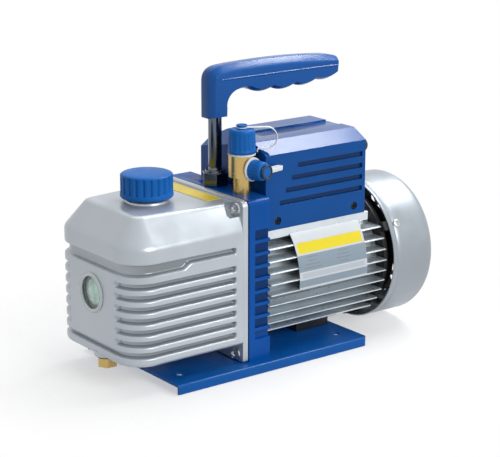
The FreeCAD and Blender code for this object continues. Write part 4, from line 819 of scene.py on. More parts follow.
body.name = "oil_case_casting"


def case_shade_depth(point):
    """How far inside the smooth wall a point of the grooved band lies, for painted shade, counted less
    on the front than round the sides.
    """
    if not GROOVE_LOW - 0.5 < point.z < TOP_GROOVE_ROOF + 0.5 or point.x > BODY_END - 1:
        return 0.0
    ahead = max(case_low.x + CORNER - point.x, 0.0)
    aside = max(abs(point.y) - HALF + CORNER, 0.0)
    round_the_side = 0.3 + 0.7 * ease(1.1 - ahead / CORNER)
    return round_the_side * (CORNER - math.hypot(ahead, aside)) / DEPTH


mark_shade_depth(body, case_shade_depth)
finished(body, "oil_case", finishes["case_silver"], sharp=38)

# %% [markdown]
# ## The sight glass
# A bright pressed ring holds a round window in the front panel. Behind the glass is a dark
# rubber seal and the pale reflector that shows the oil level. The ring is spun from its
# section. The glass is a slightly domed disc of real glass, and the reflector behind it is
# a separate disc, greenish where the oil stands.

# %% Ring, glass and reflector
ring = Blank().spin([(13.35, -3.4), (13.35, 0.2), (13.6, 1.1), (14.4, 1.8), (15.3, 2.0),
                     (16.3, 1.5), (17.0, 0.4), (17.0, 0.0), (15.4, 0.0), (15.4, -3.4),
                     (13.35, -3.4)], aim(SIGHT, FORWARD), 96)
shaped(ring, "sight_glass_ring", "sight_glass_bezel", finishes["bezel"])
glass, tree, pane = new_material("clear_sight_glass", Base_Color=(0.82, 0.93, 0.90, 1),
                                 Roughness=0.04, IOR=1.46, Transmission_Weight=1.0)
ripple = placed(tree, SKIN_RELIEF, Grain=240.0, Swell=70.0, Mix=0.7)
relief_into(tree, pane, ripple.outputs["Height"], 0.25, 0.1)
lens = Blank().spin([(0, 0.5), (5, 0.35), (9, -0.1), (11.5, -0.4), (13.2, -0.5), (13.2, -3.4),
                     (0, -3.4)], aim(SIGHT, FORWARD), 72)
shaped(lens, "sight_glass_window", "sight_glass_lens", glass)
reflector = Blank().spin([(0, -3.7), (3.0, -3.7), (3.2, -4.0), (10.2, -4.3), (10.8, -4.9),
                          (10.8, -5.6), (0, -5.6)], aim(SIGHT, FORWARD), 64)
oil_view = finish("oil_level_reflector", (0.42, 0.52, 0.48), metallic=0.4, gloss=(0.12, 0.3),
                  drift=(0.55, 120.0), relief=(500.0, 160.0, 0.7), depth=0.4)
shaped(reflector, "sight_glass_reflector", "sight_glass_bezel", oil_view, stands_in=False)

# %% [markdown]
# ## The exhaust cap
# The filler and exhaust cap is a blue moulding with 22 thumb ribs, a plain rim below them
# and a gently domed top. A lathe would make it round only, so the spin takes a waist rule:
# a narrow groove between ribs that fades out into the rim and into the dome.

# %% Spin the fluted cap
cap_low, cap_high = corners("exhaust_cap")
RIBS = 22
RIM_TOP = cap_high.z - 17.4
RIB_TOP = cap_high.z - 3.4
SKIRT = 148.6
SKIRT_ROOF = 152.5
CAP_R = (cap_high.x - cap_low.x) / 2


def cap_waist(radius, height, angle):
    """Shave the grooves between the ribs, only where the outer wall is."""
    if radius < CAP_R - 3.4:
        return radius
    wave = math.cos(RIBS * angle)
    groove = ease((wave - 0.1) / 0.75)
    reach = ease((height - RIM_TOP) / 0.9) * ease((RIB_TOP + 1.0 - height) / 2.2)
    crown = 0.12 * (1 - wave)
    return radius - reach * (1.15 * groove + 0.3 - crown)


wall = [(CAP_R, SKIRT + 1.0), (CAP_R, RIM_TOP - 1.0), (CAP_R - 0.1, RIM_TOP - 0.3)]
wall += [(CAP_R - 0.15, z) for z in marks(RIM_TOP + 0.1, RIM_TOP + 1.1, 0.25)]
wall += [(CAP_R - 0.15, z) for z in marks(RIM_TOP + 2.5, RIB_TOP - 2.0, 2.0)]
wall += [(CAP_R - 0.2, z) for z in marks(RIB_TOP - 1.2, RIB_TOP, 0.3)]
shoulder = bend((CAP_R - 0.25, RIB_TOP + 0.3), (CAP_R - 0.6, cap_high.z - 1.4),
                (CAP_R - 4.8, cap_high.z - 0.9), 8)
dome = [(r, cap_high.z - 0.9 * (r / (CAP_R - 4.8)) ** 2) for r in (14, 10, 6, 3, 0)]
stem = [(0, SKIRT_ROOF), (9.6, SKIRT_ROOF), (9.6, cap_low.z), (13.6, cap_low.z),
        (13.6, SKIRT + 0.5), (CAP_R - 2.6, SKIRT + 0.5), (CAP_R - 2.2, SKIRT),
        (CAP_R - 0.9, SKIRT)]
cap = Blank().spin(stem + wall + shoulder + dome,
                   aim((neck_at.x, neck_at.y, 0)), RIBS * 14, cap_waist)
shaped(cap, "exhaust_cap_moulding", "exhaust_cap", finishes["cap_blue"], sharp=50)

# %% [markdown]
# ## Castings and sheet metal that keep their modelled form
# The bracket, base channel, box, shield, nut and fittings already have the right shape in
# the solid model. They only lack soft edges, so each becomes a merged copy with its flat
# faces joined up and a Bevel modifier as wide as the real edge's radius.

# %% Soft-edged copies
SOFT_COPIES = [
    ("pump_bracket", "bracket_casting", 0.55, 2), ("base_plate", "base_channel", 0.9, 3),
    ("control_box", "control_box_shell", 1.2, 3), ("handle_nut", "handle_lock_nut", 0.6, 2),
    ("inlet_fitting", "inlet_brass_body", 0.35, 2), ("drain_plug", "drain_plug_brass", 0.5, 2),
    ("cord_gland", "cord_gland_body", 0.4, 2), ("switch_housing", "switch_frame", 0.5, 2),
    ("switch_rocker", "switch_rocker_key", 0.5, 2), ("end_shield", "end_shield_casting", 0.6, 2),
    ("tether_rings", "tether_ring_pair", 0.35, 2), ("case_gasket", "case_gasket_sheet", 0.15, 1),
]


def bracket_shade_depth(point):
    """How deep a point lies in the pockets between the bracket's fins, for painted shade."""
    if not 33 < point.z < 121.5 or abs(point.y) < 55:
        return 0.0
    return (58.2 - abs(point.y)) / 2.7


def box_shade_depth(point):
    """How deep a point lies in the grooves along the box's sides, for painted shade."""
    if not 131 < point.z < 170 or abs(point.y) < 43.9:
        return 0.0
    return (46.1 - abs(point.y)) / 1.9


SHADE_DEPTHS = {"pump_bracket": bracket_shade_depth, "control_box": box_shade_depth}
for node, name, width, steps in SOFT_COPIES:
    piece = loose(name, from_solid(node))
    # Painted shade: the bracket's fin pockets and the box's side grooves are marked to be darkened.
    if node in SHADE_DEPTHS:
        mark_shade_depth(piece, SHADE_DEPTHS[node])
    soften(piece, width, steps)
    finished(piece, node, finishes[slot_of[node]])

# %% [markdown]
# ## The motor frame and its fins
# The frame is an aluminium tube with nine level fins on each side, cast with it. The fins
# taper to a rounded edge, and they stop on a circle. They repeat, so Geometry Nodes make
# them: one blank fin with a unit reach, placed down a line, and each one stretched to the
# circle at its own height.

# %% Geometry Nodes helpers


def growth(name, **kinds):
    """A Geometry Nodes tree with named inputs; what it grows goes to its last socket."""
    tree = bpy.data.node_groups.new(name, "GeometryNodeTree")
    for label, kind in {"Geometry": "Geometry", **kinds, "Finish": "Material"}.items():
        tree.interface.new_socket(label, in_out="INPUT", socket_type="NodeSocket" + kind)
    tree.interface.new_socket("Geometry", in_out="OUTPUT", socket_type="NodeSocketGeometry")
    given = tree.nodes.new("NodeGroupInput").outputs
    plain = tree.nodes.new("GeometryNodeRealizeInstances")
    coat = add_node(tree, "GeometryNodeSetMaterial", Geometry=plain.outputs["Geometry"],
                    Material=given["Finish"])
    add_node(tree, "NodeGroupOutput", coat.outputs["Geometry"])
    return tree, given, plain.inputs["Geometry"]


def stamp_on(tree, result, points, instance, **inputs):
    """Stamp an instance on every point and send the lot to the result."""
    stamp = add_node(tree, "GeometryNodeInstanceOnPoints", Points=points, Instance=instance,
                     **inputs)
    tree.links.new(stamp.outputs["Instances"], result)


def grow(name, data, tree, **settings):
    """Run a tree on a mesh and keep the result as a plain mesh."""
    thing = loose(name, data)
    step = thing.modifiers.new("grow", "NODES")
    step.node_group = tree
    for item in tree.interface.items_tree:
        if item.in_out == "INPUT" and item.name in settings:
            step[item.identifier] = settings[item.name]
    return settle(thing)


print("helpers for growing:", growth.__name__, stamp_on.__name__, grow.__name__)

# %% Grow the fins
motor_low, motor_high = corners("motor_frame")
AXIS = middle("fan_cowl")
AXIS.x = 0
FIN_REACH = motor_high.y
FIN_TOP = 99.0
FIN_PITCH = 9.4
FIN_COUNT = 9
FIN_THICK = 2.6


def fin_blank():
    """One fin on each side, with a unit reach along Y, tapered to a round edge."""
    blank = Blank()
    start, stop = motor_low.x + 0.05, motor_high.x - 0.05
    half = FIN_THICK / 2
    edge = [(0.70, -half), (0.965, -half * 0.72), (0.985, -half * 0.62), (0.997, -half * 0.3),
            (1.0, 0), (0.997, half * 0.3), (0.985, half * 0.62), (0.965, half * 0.72),
            (0.70, half)]
    for side in (-1, 1):
        section = [(reach * side / MM, z) for reach, z in edge]
        loops = []
        for x, squeeze in ((start, 0.86), (start + 0.5, 1), (stop - 0.5, 1), (stop, 0.86)):
            loops.append([Vector((x, y, z * squeeze)) for y, z in section])
        blank.skin(loops)
    return loose("fin_blank", blank.mesh("fin_blank"))


tree, given, result = growth("motor_fins", Fin="Object", Count="Int", Pitch="Float",
                             Top="Float", Axis="Float", Reach="Float")
first = add_node(tree, "ShaderNodeCombineXYZ", Z=given["Top"])
down = add_node(tree, "ShaderNodeCombineXYZ", Z=math_step(tree, "MULTIPLY", given["Pitch"], -1.0))
line = add_node(tree, "GeometryNodeMeshLine", Count=given["Count"],
                Start_Location=first.outputs["Vector"], Offset=down.outputs["Vector"])
place = add_node(tree, "GeometryNodeInputPosition")
split = add_node(tree, "ShaderNodeSeparateXYZ", Vector=place.outputs["Position"])
height = math_step(tree, "SUBTRACT", split.outputs["Z"], given["Axis"])
chord = math_step(tree, "SQRT", math_step(
    tree, "SUBTRACT", math_step(tree, "POWER", given["Reach"], 2.0),
    math_step(tree, "POWER", math_step(tree, "ABSOLUTE", height), 2.0)))
stretch = add_node(tree, "ShaderNodeCombineXYZ", X=1.0, Y=chord, Z=1.0)
fin = add_node(tree, "GeometryNodeObjectInfo", Object=given["Fin"])
stamp_on(tree, result, line.outputs["Mesh"], fin.outputs["Geometry"],
         Scale=stretch.outputs["Vector"])
blank_fin = fin_blank()
fins = grow("motor_cooling_fins", bpy.data.meshes.new("fins"), tree, Fin=blank_fin,
            Count=FIN_COUNT, Pitch=FIN_PITCH * MM, Top=FIN_TOP * MM, Axis=AXIS.z * MM,
            Reach=FIN_REACH * MM, Finish=finishes["motor_aluminium"])
bpy.data.objects.remove(blank_fin)
finished(fins, "motor_frame", finishes["motor_aluminium"], stands_in=False)

# %% [markdown]
# The tube under the fins, the pad for the control box and the foot are one casting. The
# tube is spun as a closed sleeve, so the windings still show behind it in a section.

# %% The motor tube, its pad and its foot
CORE = 48.0
BORE = 42.0
PAD_LOW = 106.0
PAD_HIGH = 113.85
FOOT_HALF = 21.95
run = motor_high.x - motor_low.x
sleeve = Blank().spin([(BORE, 0.05), (CORE - 0.8, 0.05), (CORE, 0.85), (CORE, run - 0.85),
                       (CORE - 0.8, run - 0.05), (BORE, run - 0.05), (BORE, 0.05)],
                      aim((motor_low.x, 0, AXIS.z), ALONG), 96)
tube = loose("motor_tube", sleeve.mesh("motor_tube"))
carve(tube, Blank().block((motor_low.x - 1, -46, PAD_HIGH + 0.05), (motor_high.x + 1, 46, 126)))
pad_block = Blank().block((motor_low.x + 0.05, -46, PAD_LOW), (motor_low.x + 118.1, 46, PAD_HIGH))
pad = loose("motor_box_pad", pad_block.mesh("motor_box_pad"))
foot_block = Blank().block((case_low.x + 196, -FOOT_HALF, 8.05),
                           (case_low.x + 232, FOOT_HALF, 22.6))
foot = loose("motor_foot", foot_block.mesh("motor_foot"))
for piece in (tube, pad, foot):
    soften(piece, 0.8, 2)
# Painted shade: the whole tube between the fins is darkened as if it lay 0.7 deep in a groove.
mark_shade_depth(tube, lambda point: 0.7)
finished(tube, "motor_frame", finishes["motor_aluminium"], stands_in=False)
# Painted shade: the foot takes the black enamel so that it reads as the shade under the motor.
finished(foot, "motor_frame", finishes["shield_black"], stands_in=False)
finished(pad, "motor_frame", finishes["motor_aluminium"])

# %% [markdown]
# ## The fan cowl
# The cowl is a deep-drawn cup over the fan: a rolled front lip, a straight side, a generous
# rear radius and a slotted grille. The cup is spun from its section, and the slots are cut
# by a tool that Geometry Nodes make: blocks placed round two rings, all facing the axis.

# %% Spin the cup and cut its grille
cowl_low, cowl_high = corners("fan_cowl")
COWL_R = (cowl_high.y - cowl_low.y) / 2
COWL_LONG = cowl_high.x - cowl_low.x
SHEET = 1.5
cup = [(COWL_R - SHEET, 0.5), (COWL_R - 1.1, 0.0), (COWL_R - 0.5, 0.0), (COWL_R, 0.6),
       (COWL_R, 4.2), (COWL_R - 0.35, 4.9), (COWL_R - 0.35, 5.3), (COWL_R, 6.0)]
cup += [(COWL_R, x) for x in marks(10, COWL_LONG - 12, 6)]
cup += [(r, x) for x, r in arc(8.0, 90, 0, 8, (COWL_LONG - 8.0, COWL_R - 8.0))]
cup += [(50.5, COWL_LONG), (49.8, COWL_LONG - 0.5), (30, COWL_LONG - 0.5), (14, COWL_LONG - 0.5),
        (13, COWL_LONG), (0, COWL_LONG), (0, COWL_LONG - SHEET), (50, COWL_LONG - SHEET - 0.4)]
cup += [(r, x) for x, r in arc(6.5, 0, 90, 6, (COWL_LONG - 8.0, COWL_R - 8.0))]
cup += [(COWL_R - SHEET, x) for x in (20.0, 5.0, 0.5)]
cowl_at = aim((cowl_low.x, 0, AXIS.z), ALONG)
cowl = loose("fan_cowl_cup", Blank().spin(cup, cowl_at, 128).mesh("fan_cowl_cup"))

tree, given, result = growth("grille_cutters", Count="Int", Radius="Float", Size="Vector")
wheel = add_node(tree, "GeometryNodeMeshCircle", Vertices=given["Count"], Radius=given["Radius"])
tool = add_node(tree, "GeometryNodeMeshCube", Size=given["Size"])
spot = add_node(tree, "GeometryNodeInputPosition")
face = add_node(tree, "FunctionNodeAlignRotationToVector", Vector=spot.outputs["Position"],
                settings={"axis": "X", "pivot_axis": "Z"})
stamp_on(tree, result, wheel.outputs["Mesh"], tool.outputs["Mesh"],
         Rotation=face.outputs["Rotation"])
for count, low, high in ((16, 16.0, 31.0), (24, 35.0, 50.0)):
    cutter = grow("grille_cutter", bpy.data.meshes.new("grille_cutter"), tree, Count=count,
                  Radius=(low + high) / 2 * MM, Size=[(high - low) * MM, 4 * MM, 12 * MM],
                  Finish=finishes["cowl_silver"])
    lift = aim((cowl_high.x, 0, AXIS.z), ALONG)
    lift.translation *= MM
    cutter.data.transform(lift)
    cut(cowl, cutter)
finished(cowl, "fan_cowl", finishes["cowl_silver"])

# %% [markdown]
# ## Screws
# Hexagon and pan heads in zinc plate hold the pump together. A screw repeats, so one blank
# head is spun, or drawn out from a hexagon, and Geometry Nodes set it on every place where
# the solid model has one, turned to point the right way.

# %% The tree and the blank screws
SCREW_TREE, given, result = growth("screws_in_place", Screw="Object")
points = add_node(SCREW_TREE, "GeometryNodeMeshToPoints", Mesh=given["Geometry"])
turn = add_node(SCREW_TREE, "GeometryNodeInputNamedAttribute", Name="turn",
                settings={"data_type": "FLOAT_VECTOR"})
spin = add_node(SCREW_TREE, "FunctionNodeEulerToRotation", Euler=turn.outputs["Attribute"])
screw = add_node(SCREW_TREE, "GeometryNodeObjectInfo", Object=given["Screw"])
stamp_on(SCREW_TREE, result, points.outputs["Points"], screw.outputs["Geometry"],
         Rotation=spin.outputs["Rotation"])


def hex_ring(flats, height):
    """A hexagon's corners at a height."""
    reach = flats / 2 / math.cos(math.pi / 6)
    return [Vector((reach * math.cos(math.pi / 3 * i), reach * math.sin(math.pi / 3 * i), height))
            for i in range(6)]


def cross_headed(blank, wide, slit, low, top):
    """A blank screw with a cross recess in its head."""
    head = loose("screw_blank", blank.mesh("screw_blank"))
    return carve(head, Blank().block((-wide, -slit, low), (wide, slit, top + 1)),
                 Blank().block((-slit, -wide, low), (slit, wide, top + 1)))


def hex_screw(flats, tall, washer, shank, long):
    """A flanged hexagon head with a cross recess, standing on its washer."""
    blank = Blank()
    blank.skin([hex_ring(flats, 0.6), hex_ring(flats, tall - 0.7), hex_ring(flats * 0.86, tall)])
    blank.spin([(0, 0), (washer - 0.2, 0), (washer, 0.3), (washer - 0.4, 0.9), (0, 1.2)],
               aim((0, 0, 0)), 32)
    blank.spin([(0, -long), (shank, -long), (shank, 0.1), (0, 0.1)], aim((0, 0, 0)), 20)
    return cross_headed(blank, flats * 0.34, 0.55, tall - 1.1, tall)


def pan_screw(radius, tall, shank, long, slit=0.55):
    """A round head with a cross recess."""
    dome = bend((radius, 0.2), (radius * 0.96, tall), (radius * 0.4, tall), 5)
    blank = Blank().spin([(0, -long), (shank, -long), (shank, 0), (radius, 0)] + dome
                         + [(0, tall)], aim((0, 0, 0)), 32)
    return cross_headed(blank, radius * 0.6, slit, tall - 0.9, tall)


print("screw tree", [node.name for node in SCREW_TREE.nodes])

# %% Set the screws


def set_screws(node, name, blank, places):
    """Put a blank screw at each (place, direction) and finish the lot as one piece."""
    data = bpy.data.meshes.new(name)
    data.from_pydata([Vector(at) * MM for at, _ in places], [], [])
    turns = data.attributes.new("turn", "FLOAT_VECTOR", "POINT")
    for i, (_, way) in enumerate(places):
        turns.data[i].vector = Vector(way).to_track_quat("Z", "Y").to_euler()
    made = grow(name, data, SCREW_TREE, Screw=blank, Finish=finishes[slot_of[node]])
    bpy.data.objects.remove(blank)
    return finished(made, node, finishes[slot_of[node]])


set_screws("case_screws", "case_flange_screws", hex_screw(8.0, 4.5, 5.0, 2.5, 18.0),
           [((BODY_END, SCREW_Y * side, z), FORWARD) for side in (-1, 1)
            for z in (SCREW_LOW, SCREW_HIGH)])
foot_places = [((case_low.x + x, y * side, 6.0), (0, 0, -1))
               for x, y in ((127.5, 38.0), (214.0, 17.0)) for side in (-1, 1)]
set_screws("base_screws", "base_foot_screws", pan_screw(5.2, 3.2, 3.0, 11.0), foot_places)
LUGS = (30, 150, 270)
cowl_places = []
for angle in LUGS:
    out = Vector((0, math.cos(math.radians(angle)), math.sin(math.radians(angle))))
    cowl_places.append((Vector((case_low.x + 280.5, 0, AXIS.z)) + out * COWL_R, out))
set_screws("cowl_screws", "cowl_side_screws", pan_screw(3.8, 1.6, 2.0, 5.5), cowl_places)
box_side = corners("control_box")[1].y - 1.5
box_places = [((case_low.x + x, box_side * side, 121.0), (0, side, 0))
              for x in (155.6, 239.3) for side in (-1, 1)]
set_screws("box_screws", "box_side_screws", pan_screw(3.1, 1.1, 2.0, 4.5, 0.4), box_places)

# %% [markdown]
# ## The carrying handle
# The post is a chromed steel rod, screwed down and locked by a nut. The grip is moulded in
# plastic: a tall section with wide bevels on top, a step line along each side, and four
# finger lobes underneath. It could be sculpted, but its form is an outline with thickness,
# so the outline is drawn once and stacked across the width, drawn in more at each level.

# %% The post
post_low, post_high = corners("handle_post")
post_at = middle("handle_post")
POST_R = (post_high.x - post_low.x) / 2
POST_GROOVE = 161.0
post = Blank().spin([(0, post_low.z), (POST_R, post_low.z), (POST_R, POST_GROOVE),
                     (POST_R - 0.35, POST_GROOVE + 0.6), (POST_R - 0.35, POST_GROOVE + 1.6),
                     (POST_R, POST_GROOVE + 2.2),
                     (POST_R, post_high.z - 0.6), (POST_R - 0.6, post_high.z), (0, post_high.z)],
                    aim((post_at.x, post_at.y, 0)), 64)
shaped(post, "handle_post_rod", "handle_post", finishes["post_chrome"])

# %% [markdown]
# The grip's side view starts at the foot of its stem. It runs up the stem's back, along the
# finger lobes to the tip, back over the long crown, and down the front. Each point also says
# how wide the bevel is there, because the top is cut back further than the lobes.

# %% The grip's side view
grip_low, grip_high = corners("grip_half_left")
GRIP_HALF = grip_high.y - post_at.y
GRIP_TOP = grip_high.z
GRIP_UNDER = 221.6
GRIP_TIP = grip_high.x
GRIP_FRONT = grip_low.x
STEM_BACK = GRIP_FRONT + 18.4
LOBES = 4
LOBE_PITCH = 24.3
LOBE_FIRST = GRIP_FRONT + 41.5
LOBE_MIDDLE = GRIP_FRONT + 76.8
LOBE_SWELL = 2.8
STEP_LINE = GRIP_TOP - 12.2


def cusp_height(x):
    """The line between the finger lobes, which arches up at both ends."""
    return GRIP_UNDER + 3.0 + 0.00145 * (x - LOBE_MIDDLE) ** 2


def grip_outline():
    """The grip's side view, with how far its bevels draw in at each point."""
    wide, tight = 6.6, 2.8
    points = [(GRIP_FRONT + 0.6, grip_low.z, 1.0), (STEM_BACK - 0.6, grip_low.z, 1.0)]
    points += [(STEM_BACK, grip_low.z + 0.8, 1.6), (STEM_BACK, GRIP_UNDER - 8, 2.0)]
    points += [(x, z, 2.4) for x, z in bend((STEM_BACK, GRIP_UNDER - 6.5),
                                            (STEM_BACK + 1.5, GRIP_UNDER + 5.0),
                                            (LOBE_FIRST - 5, GRIP_UNDER + 5.6), 9)]
    for i in range(LOBES):
        for step in range(0 if i == 0 else 1, 11):
            share = step / 10
            x = LOBE_FIRST + LOBE_PITCH * (i + share)
            swell = abs(math.sin(math.pi * share)) ** 0.75
            points.append((x, cusp_height(x) - LOBE_SWELL * swell, tight))
    tip = GRIP_TIP
    points += [(tip - 1.0, GRIP_UNDER + 12, 2.6), (tip - 0.1, GRIP_TOP - 10.5, 2.6)]
    points += [(x, z, 4.0) for x, z in bend((tip, GRIP_TOP - 9.0),
                                            (tip + 0.2, GRIP_TOP - 5.4),
                                            (tip - 7.0, GRIP_TOP - 4.2), 5)]
    crown = bend((tip - 14, GRIP_TOP - 3.0), (GRIP_FRONT + 80, GRIP_TOP + 1.4),
                 (GRIP_FRONT + 22, GRIP_TOP - 0.9), 12)
    points += [(x, min(z, GRIP_TOP), wide) for x, z in crown]
    shoulder = bend((GRIP_FRONT + 14, GRIP_TOP - 1.5), (GRIP_FRONT + 0.4, GRIP_TOP - 2.4),
                    (GRIP_FRONT, GRIP_TOP - 13.0), 9)
    points += [(x, z, wide - 1.8 * i / 9) for i, (x, z) in enumerate(shoulder)]
    points += [(GRIP_FRONT, GRIP_TOP - 22, 4.6), (GRIP_FRONT, grip_low.z + 4, 3.8),
               (GRIP_FRONT, grip_low.z + 0.6, 1.6)]
    return points


print("points round the grip", len(grip_outline()))

# %% [markdown]
# Each half is the side view repeated from the seam out to the side. The first levels are
# full size, and the last ones are drawn in by the bevel, so the edge comes out round. The
# step line is a thin bead along the outer face.

# %% Stack the two halves


def drawn_in(outline, share):
    """The outline moved inwards along its own normals by a share of each point's bevel."""
    count = len(outline)
    moved = []
    for i, (x, z, bevel) in enumerate(outline):
        ax, az, _ = outline[i - 1]
        bx, bz, _ = outline[(i + 1) % count]
        along = (Vector((x - ax, z - az)).normalized() + Vector((bx - x, bz - z)).normalized())
        along.normalize()
        x, z = x - along.y * bevel * share, z + along.x * bevel * share
        if z < grip_low.z + 6:
            x = min(max(x, GRIP_FRONT + 4.4 * share), STEM_BACK - 2.2 * share)
        moved.append((x, z))
    return moved


def smoothed(values, rounds):
    """Even out the bevel widths round the outline so that no facet jumps."""
    for _ in range(rounds):
        values = [(a + 2 * b + c) / 4 for a, b, c in
                  zip(values[-1:] + values[:-1], values, values[1:] + values[:1])]
    return values


outline = grip_outline()
widths = smoothed([p[2] for p in outline], 3)
outline = [(x, z, w) for (x, z, _), w in zip(outline, widths)]
levels = [(0.0, 0.0), (0.40, 0.0), (0.47, 0.03), (0.52, 0.09), (0.72, 0.42), (0.9, 0.74),
          (0.955, 0.86), (0.985, 0.945), (1.0, 1.0)]
for side, node, name in ((-1, "grip_half_right", "grip_moulding_right"),
                         (1, "grip_half_left", "grip_moulding_left")):
    loops = []
    for out, share in levels:
        y = post_at.y + side * GRIP_HALF * out
        loops.append([Vector((x, y, z)) for x, z in drawn_in(outline, share)])
    half = Blank().skin(loops)
    seam_y = post_at.y + side * GRIP_HALF
    bead = []
    for x in marks(GRIP_FRONT + 11, GRIP_TIP - 4.5, 6):
        z = STEP_LINE - 0.00006 * (x - LOBE_MIDDLE) ** 2
        bead.append([Vector((x, seam_y + side * out, z + rise))
                     for out, rise in ((-0.1, 0.5), (0.42, 0), (0.3, -0.75), (-0.1, -1.2))])
    half.skin(bead)
    shaped(half, name, node, finishes["grip_blue"], sharp=24)

# %% [markdown]
# ## The flare port caps and their straps
# Two blue caps close the inlet ports. Each has fine thumb ribs and a black button that
# holds a soft white strap, so that the cap isn't lost. The caps are spun with a ribbed
# waist. Each strap is a thin band swept along its loop.

# %% Where the caps sit
side_low, side_high = corners("side_port_cap")
inlet_at = middle("top_port_cap")
top_cap_low, top_cap_high = corners("top_port_cap")
BUTTON_TALL = 3.4
TOP_R = (top_cap_high.x - top_cap_low.x) / 2
SIDE_R = (side_high.z - side_low.z) / 2
TOP_LONG = top_cap_high.z - top_cap_low.z - BUTTON_TALL
SIDE_LONG = 12.0
TOP_HEAD = 4.7
SIDE_HEAD = 6.2
THREAD_ROOM = 10.25
CAP_RIBS = 18
SWING = math.radians(11.0)
SIDE_WAY = Vector((math.sin(SWING), -math.cos(SWING), 0))
PORT_START = 11.4
RING_THICK = 1.6
CAP_GAP = 0.35
SIDE_START = PORT_START + RING_THICK + CAP_GAP
top_place = Matrix.Translation((inlet_at.x, inlet_at.y, top_cap_low.z))
side_turn = Matrix.Rotation(SWING, 4, "Z") @ Matrix.Rotation(math.pi / 2, 4, "X")
side_start = Vector((inlet_at.x, inlet_at.y, middle("side_port_cap").z)) + SIDE_WAY * SIDE_START
side_place = Matrix.Translation(side_start) @ side_turn
print("port caps, radius in mm:", round(TOP_R, 2), round(SIDE_R, 2))

# %% Spin the caps


def port_waist(radius, long):
    """Shallow thumb ribs on the middle of the cap's wall."""
    def waist(at, height, angle):
        """The radius left by the ribs at a height and an angle."""
        if at < radius - 1.6 or height < 1.5:
            return at
        wave = 0.5 + 0.5 * math.cos(CAP_RIBS * angle)
        return at - 0.4 * wave * ease((height - 2.2) / 1.0) * ease((long - 2.6 - height) / 1.5)
    return waist


def port_cap(node, name, place, radius, long, head, button):
    """A ribbed cap, its button and the disc in the button's end."""
    total = long + BUTTON_TALL
    top = radius - 0.7
    profile = [(0, THREAD_ROOM), (4.95, THREAD_ROOM), (4.95, 0.4), (5.3, 0), (radius - 0.5, 0),
               (radius, 0.5), (radius, 1.9), (radius - 0.1, 2.3)]
    profile += [(radius - 0.1 - 0.6 * z / long, z) for z in marks(3.0, long - 3.8, 1.5)]
    profile += bend((top, long - 3.0), (top, long), (top - 2.6, long), 6)
    profile += [(2.6, long), (0, long)]
    cap = Blank().spin(profile, place, CAP_RIBS * 8, port_waist(radius, long))
    shaped(cap, name, node, finishes["cap_blue"], sharp=45)
    knob = Blank().spin([(0, long - 0.6), (2.0, long - 0.6), (2.0, long + 1.9),
                         (head - 0.7, long + 1.9), (head, long + 2.3), (head, total - 0.4),
                         (head - 0.4, total), (head - 1.0, total), (head - 1.4, total - 0.6),
                         (0, total - 0.8)], place, 48)
    shaped(knob, name + "_button", node, finishes[button], stands_in=False, sharp=40)
    disc = Blank().spin([(0, total - 1.0), (head - 1.6, total - 1.0), (head - 1.7, total - 0.65),
                         (head - 2.4, total - 0.5), (1.2, total - 0.45), (0, total - 0.7)],
                        place, 48)
    shaped(disc, name + "_disc", node, finishes["cap_blue"], stands_in=False, sharp=40)


port_cap("top_port_cap", "top_inlet_cap", top_place, TOP_R, TOP_LONG, TOP_HEAD, "cap_blue")
port_cap("side_port_cap", "side_inlet_cap", side_place, SIDE_R, SIDE_LONG, SIDE_HEAD,
         "black_plastic")

# %% [markdown]
# A strap is one band, baked in place; it rides on no body and stands in for its tether.

# %% Straps
def strap(node, name, place, cap_radius, long, low, reach):
    """A flat band: an eye round the button, out, round a bend, back and down to the ring."""
    high = long + 0.95
    start = cap_radius + 0.9
    centre = cap_radius + 1.2 + reach
    radius = (long + 1.5 - low) / 2 - 0.5
    run = [(4.2, high), (centre * 0.5, high), (centre - 1.0, high)]
    run += [(x, z) for x, z in arc(radius, 90, -90, 20, (centre, low + 0.5 + radius))]
    run += bend((start + 3.0, low + 0.5), (start, low + 0.5), (start, low - 1.6), 6)
    run += [(start, 0.15)]
    band = []
    count = len(run)
    for i, (x, z) in enumerate(run):
        ax, az = run[max(i - 1, 0)]
        bx, bz = run[min(i + 1, count - 1)]
        along = Vector((bx - ax, bz - az)).normalized()
        nx, nz = -along.y, along.x
        half = 1.95 - 0.35 * ease(1 - abs(2 * i / (count - 1) - 1))
        loop = []
        for across, lift in ((-1, -0.3), (-0.85, -0.45), (0.85, -0.45), (1, -0.3), (1, 0.3),
                             (0.85, 0.45), (-0.85, 0.45), (-1, 0.3)):
            loop.append(place @ Vector((x + nx * lift, half * across, z + nz * lift)))
        band.append(loop)
    blank = Blank().skin(band)
    blank.spin([(2.5, high - 0.42), (4.4, high - 0.42), (4.55, high), (4.4, high + 0.42),
                (2.5, high + 0.42), (2.5, high - 0.42)], place, 40)
    piece = loose(name, blank.mesh(name))
    piece.data.materials.append(finishes[slot_of[node]])
    shade(piece.data, 40)
    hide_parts(node)
    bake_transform(piece)


top_swing = top_place @ Matrix.Rotation(math.radians(-30.0), 4, "Z")
strap("top_cap_tether", "top_cap_strap", top_swing, TOP_R, TOP_LONG, 2.6, 7.5)
strap("side_cap_tether", "side_cap_strap", side_place, SIDE_R, SIDE_LONG, 8.0, 10.0)

# %% [markdown]
# ## The plates
# A thin rating plate lies on the fins' edges and follows their circle, and a yellow strip
# lies on the hood. Both are left without words. The plate keeps a yellow band and ruled
# fields. They are drawn in the plate's own UV map, so they follow its curve.

# %% The rating plate's sheet
plate_low, plate_high = corners("rating_plate")
PLATE_R = FIN_REACH + 0.4
START = -6.5
SWEEP = 47.0


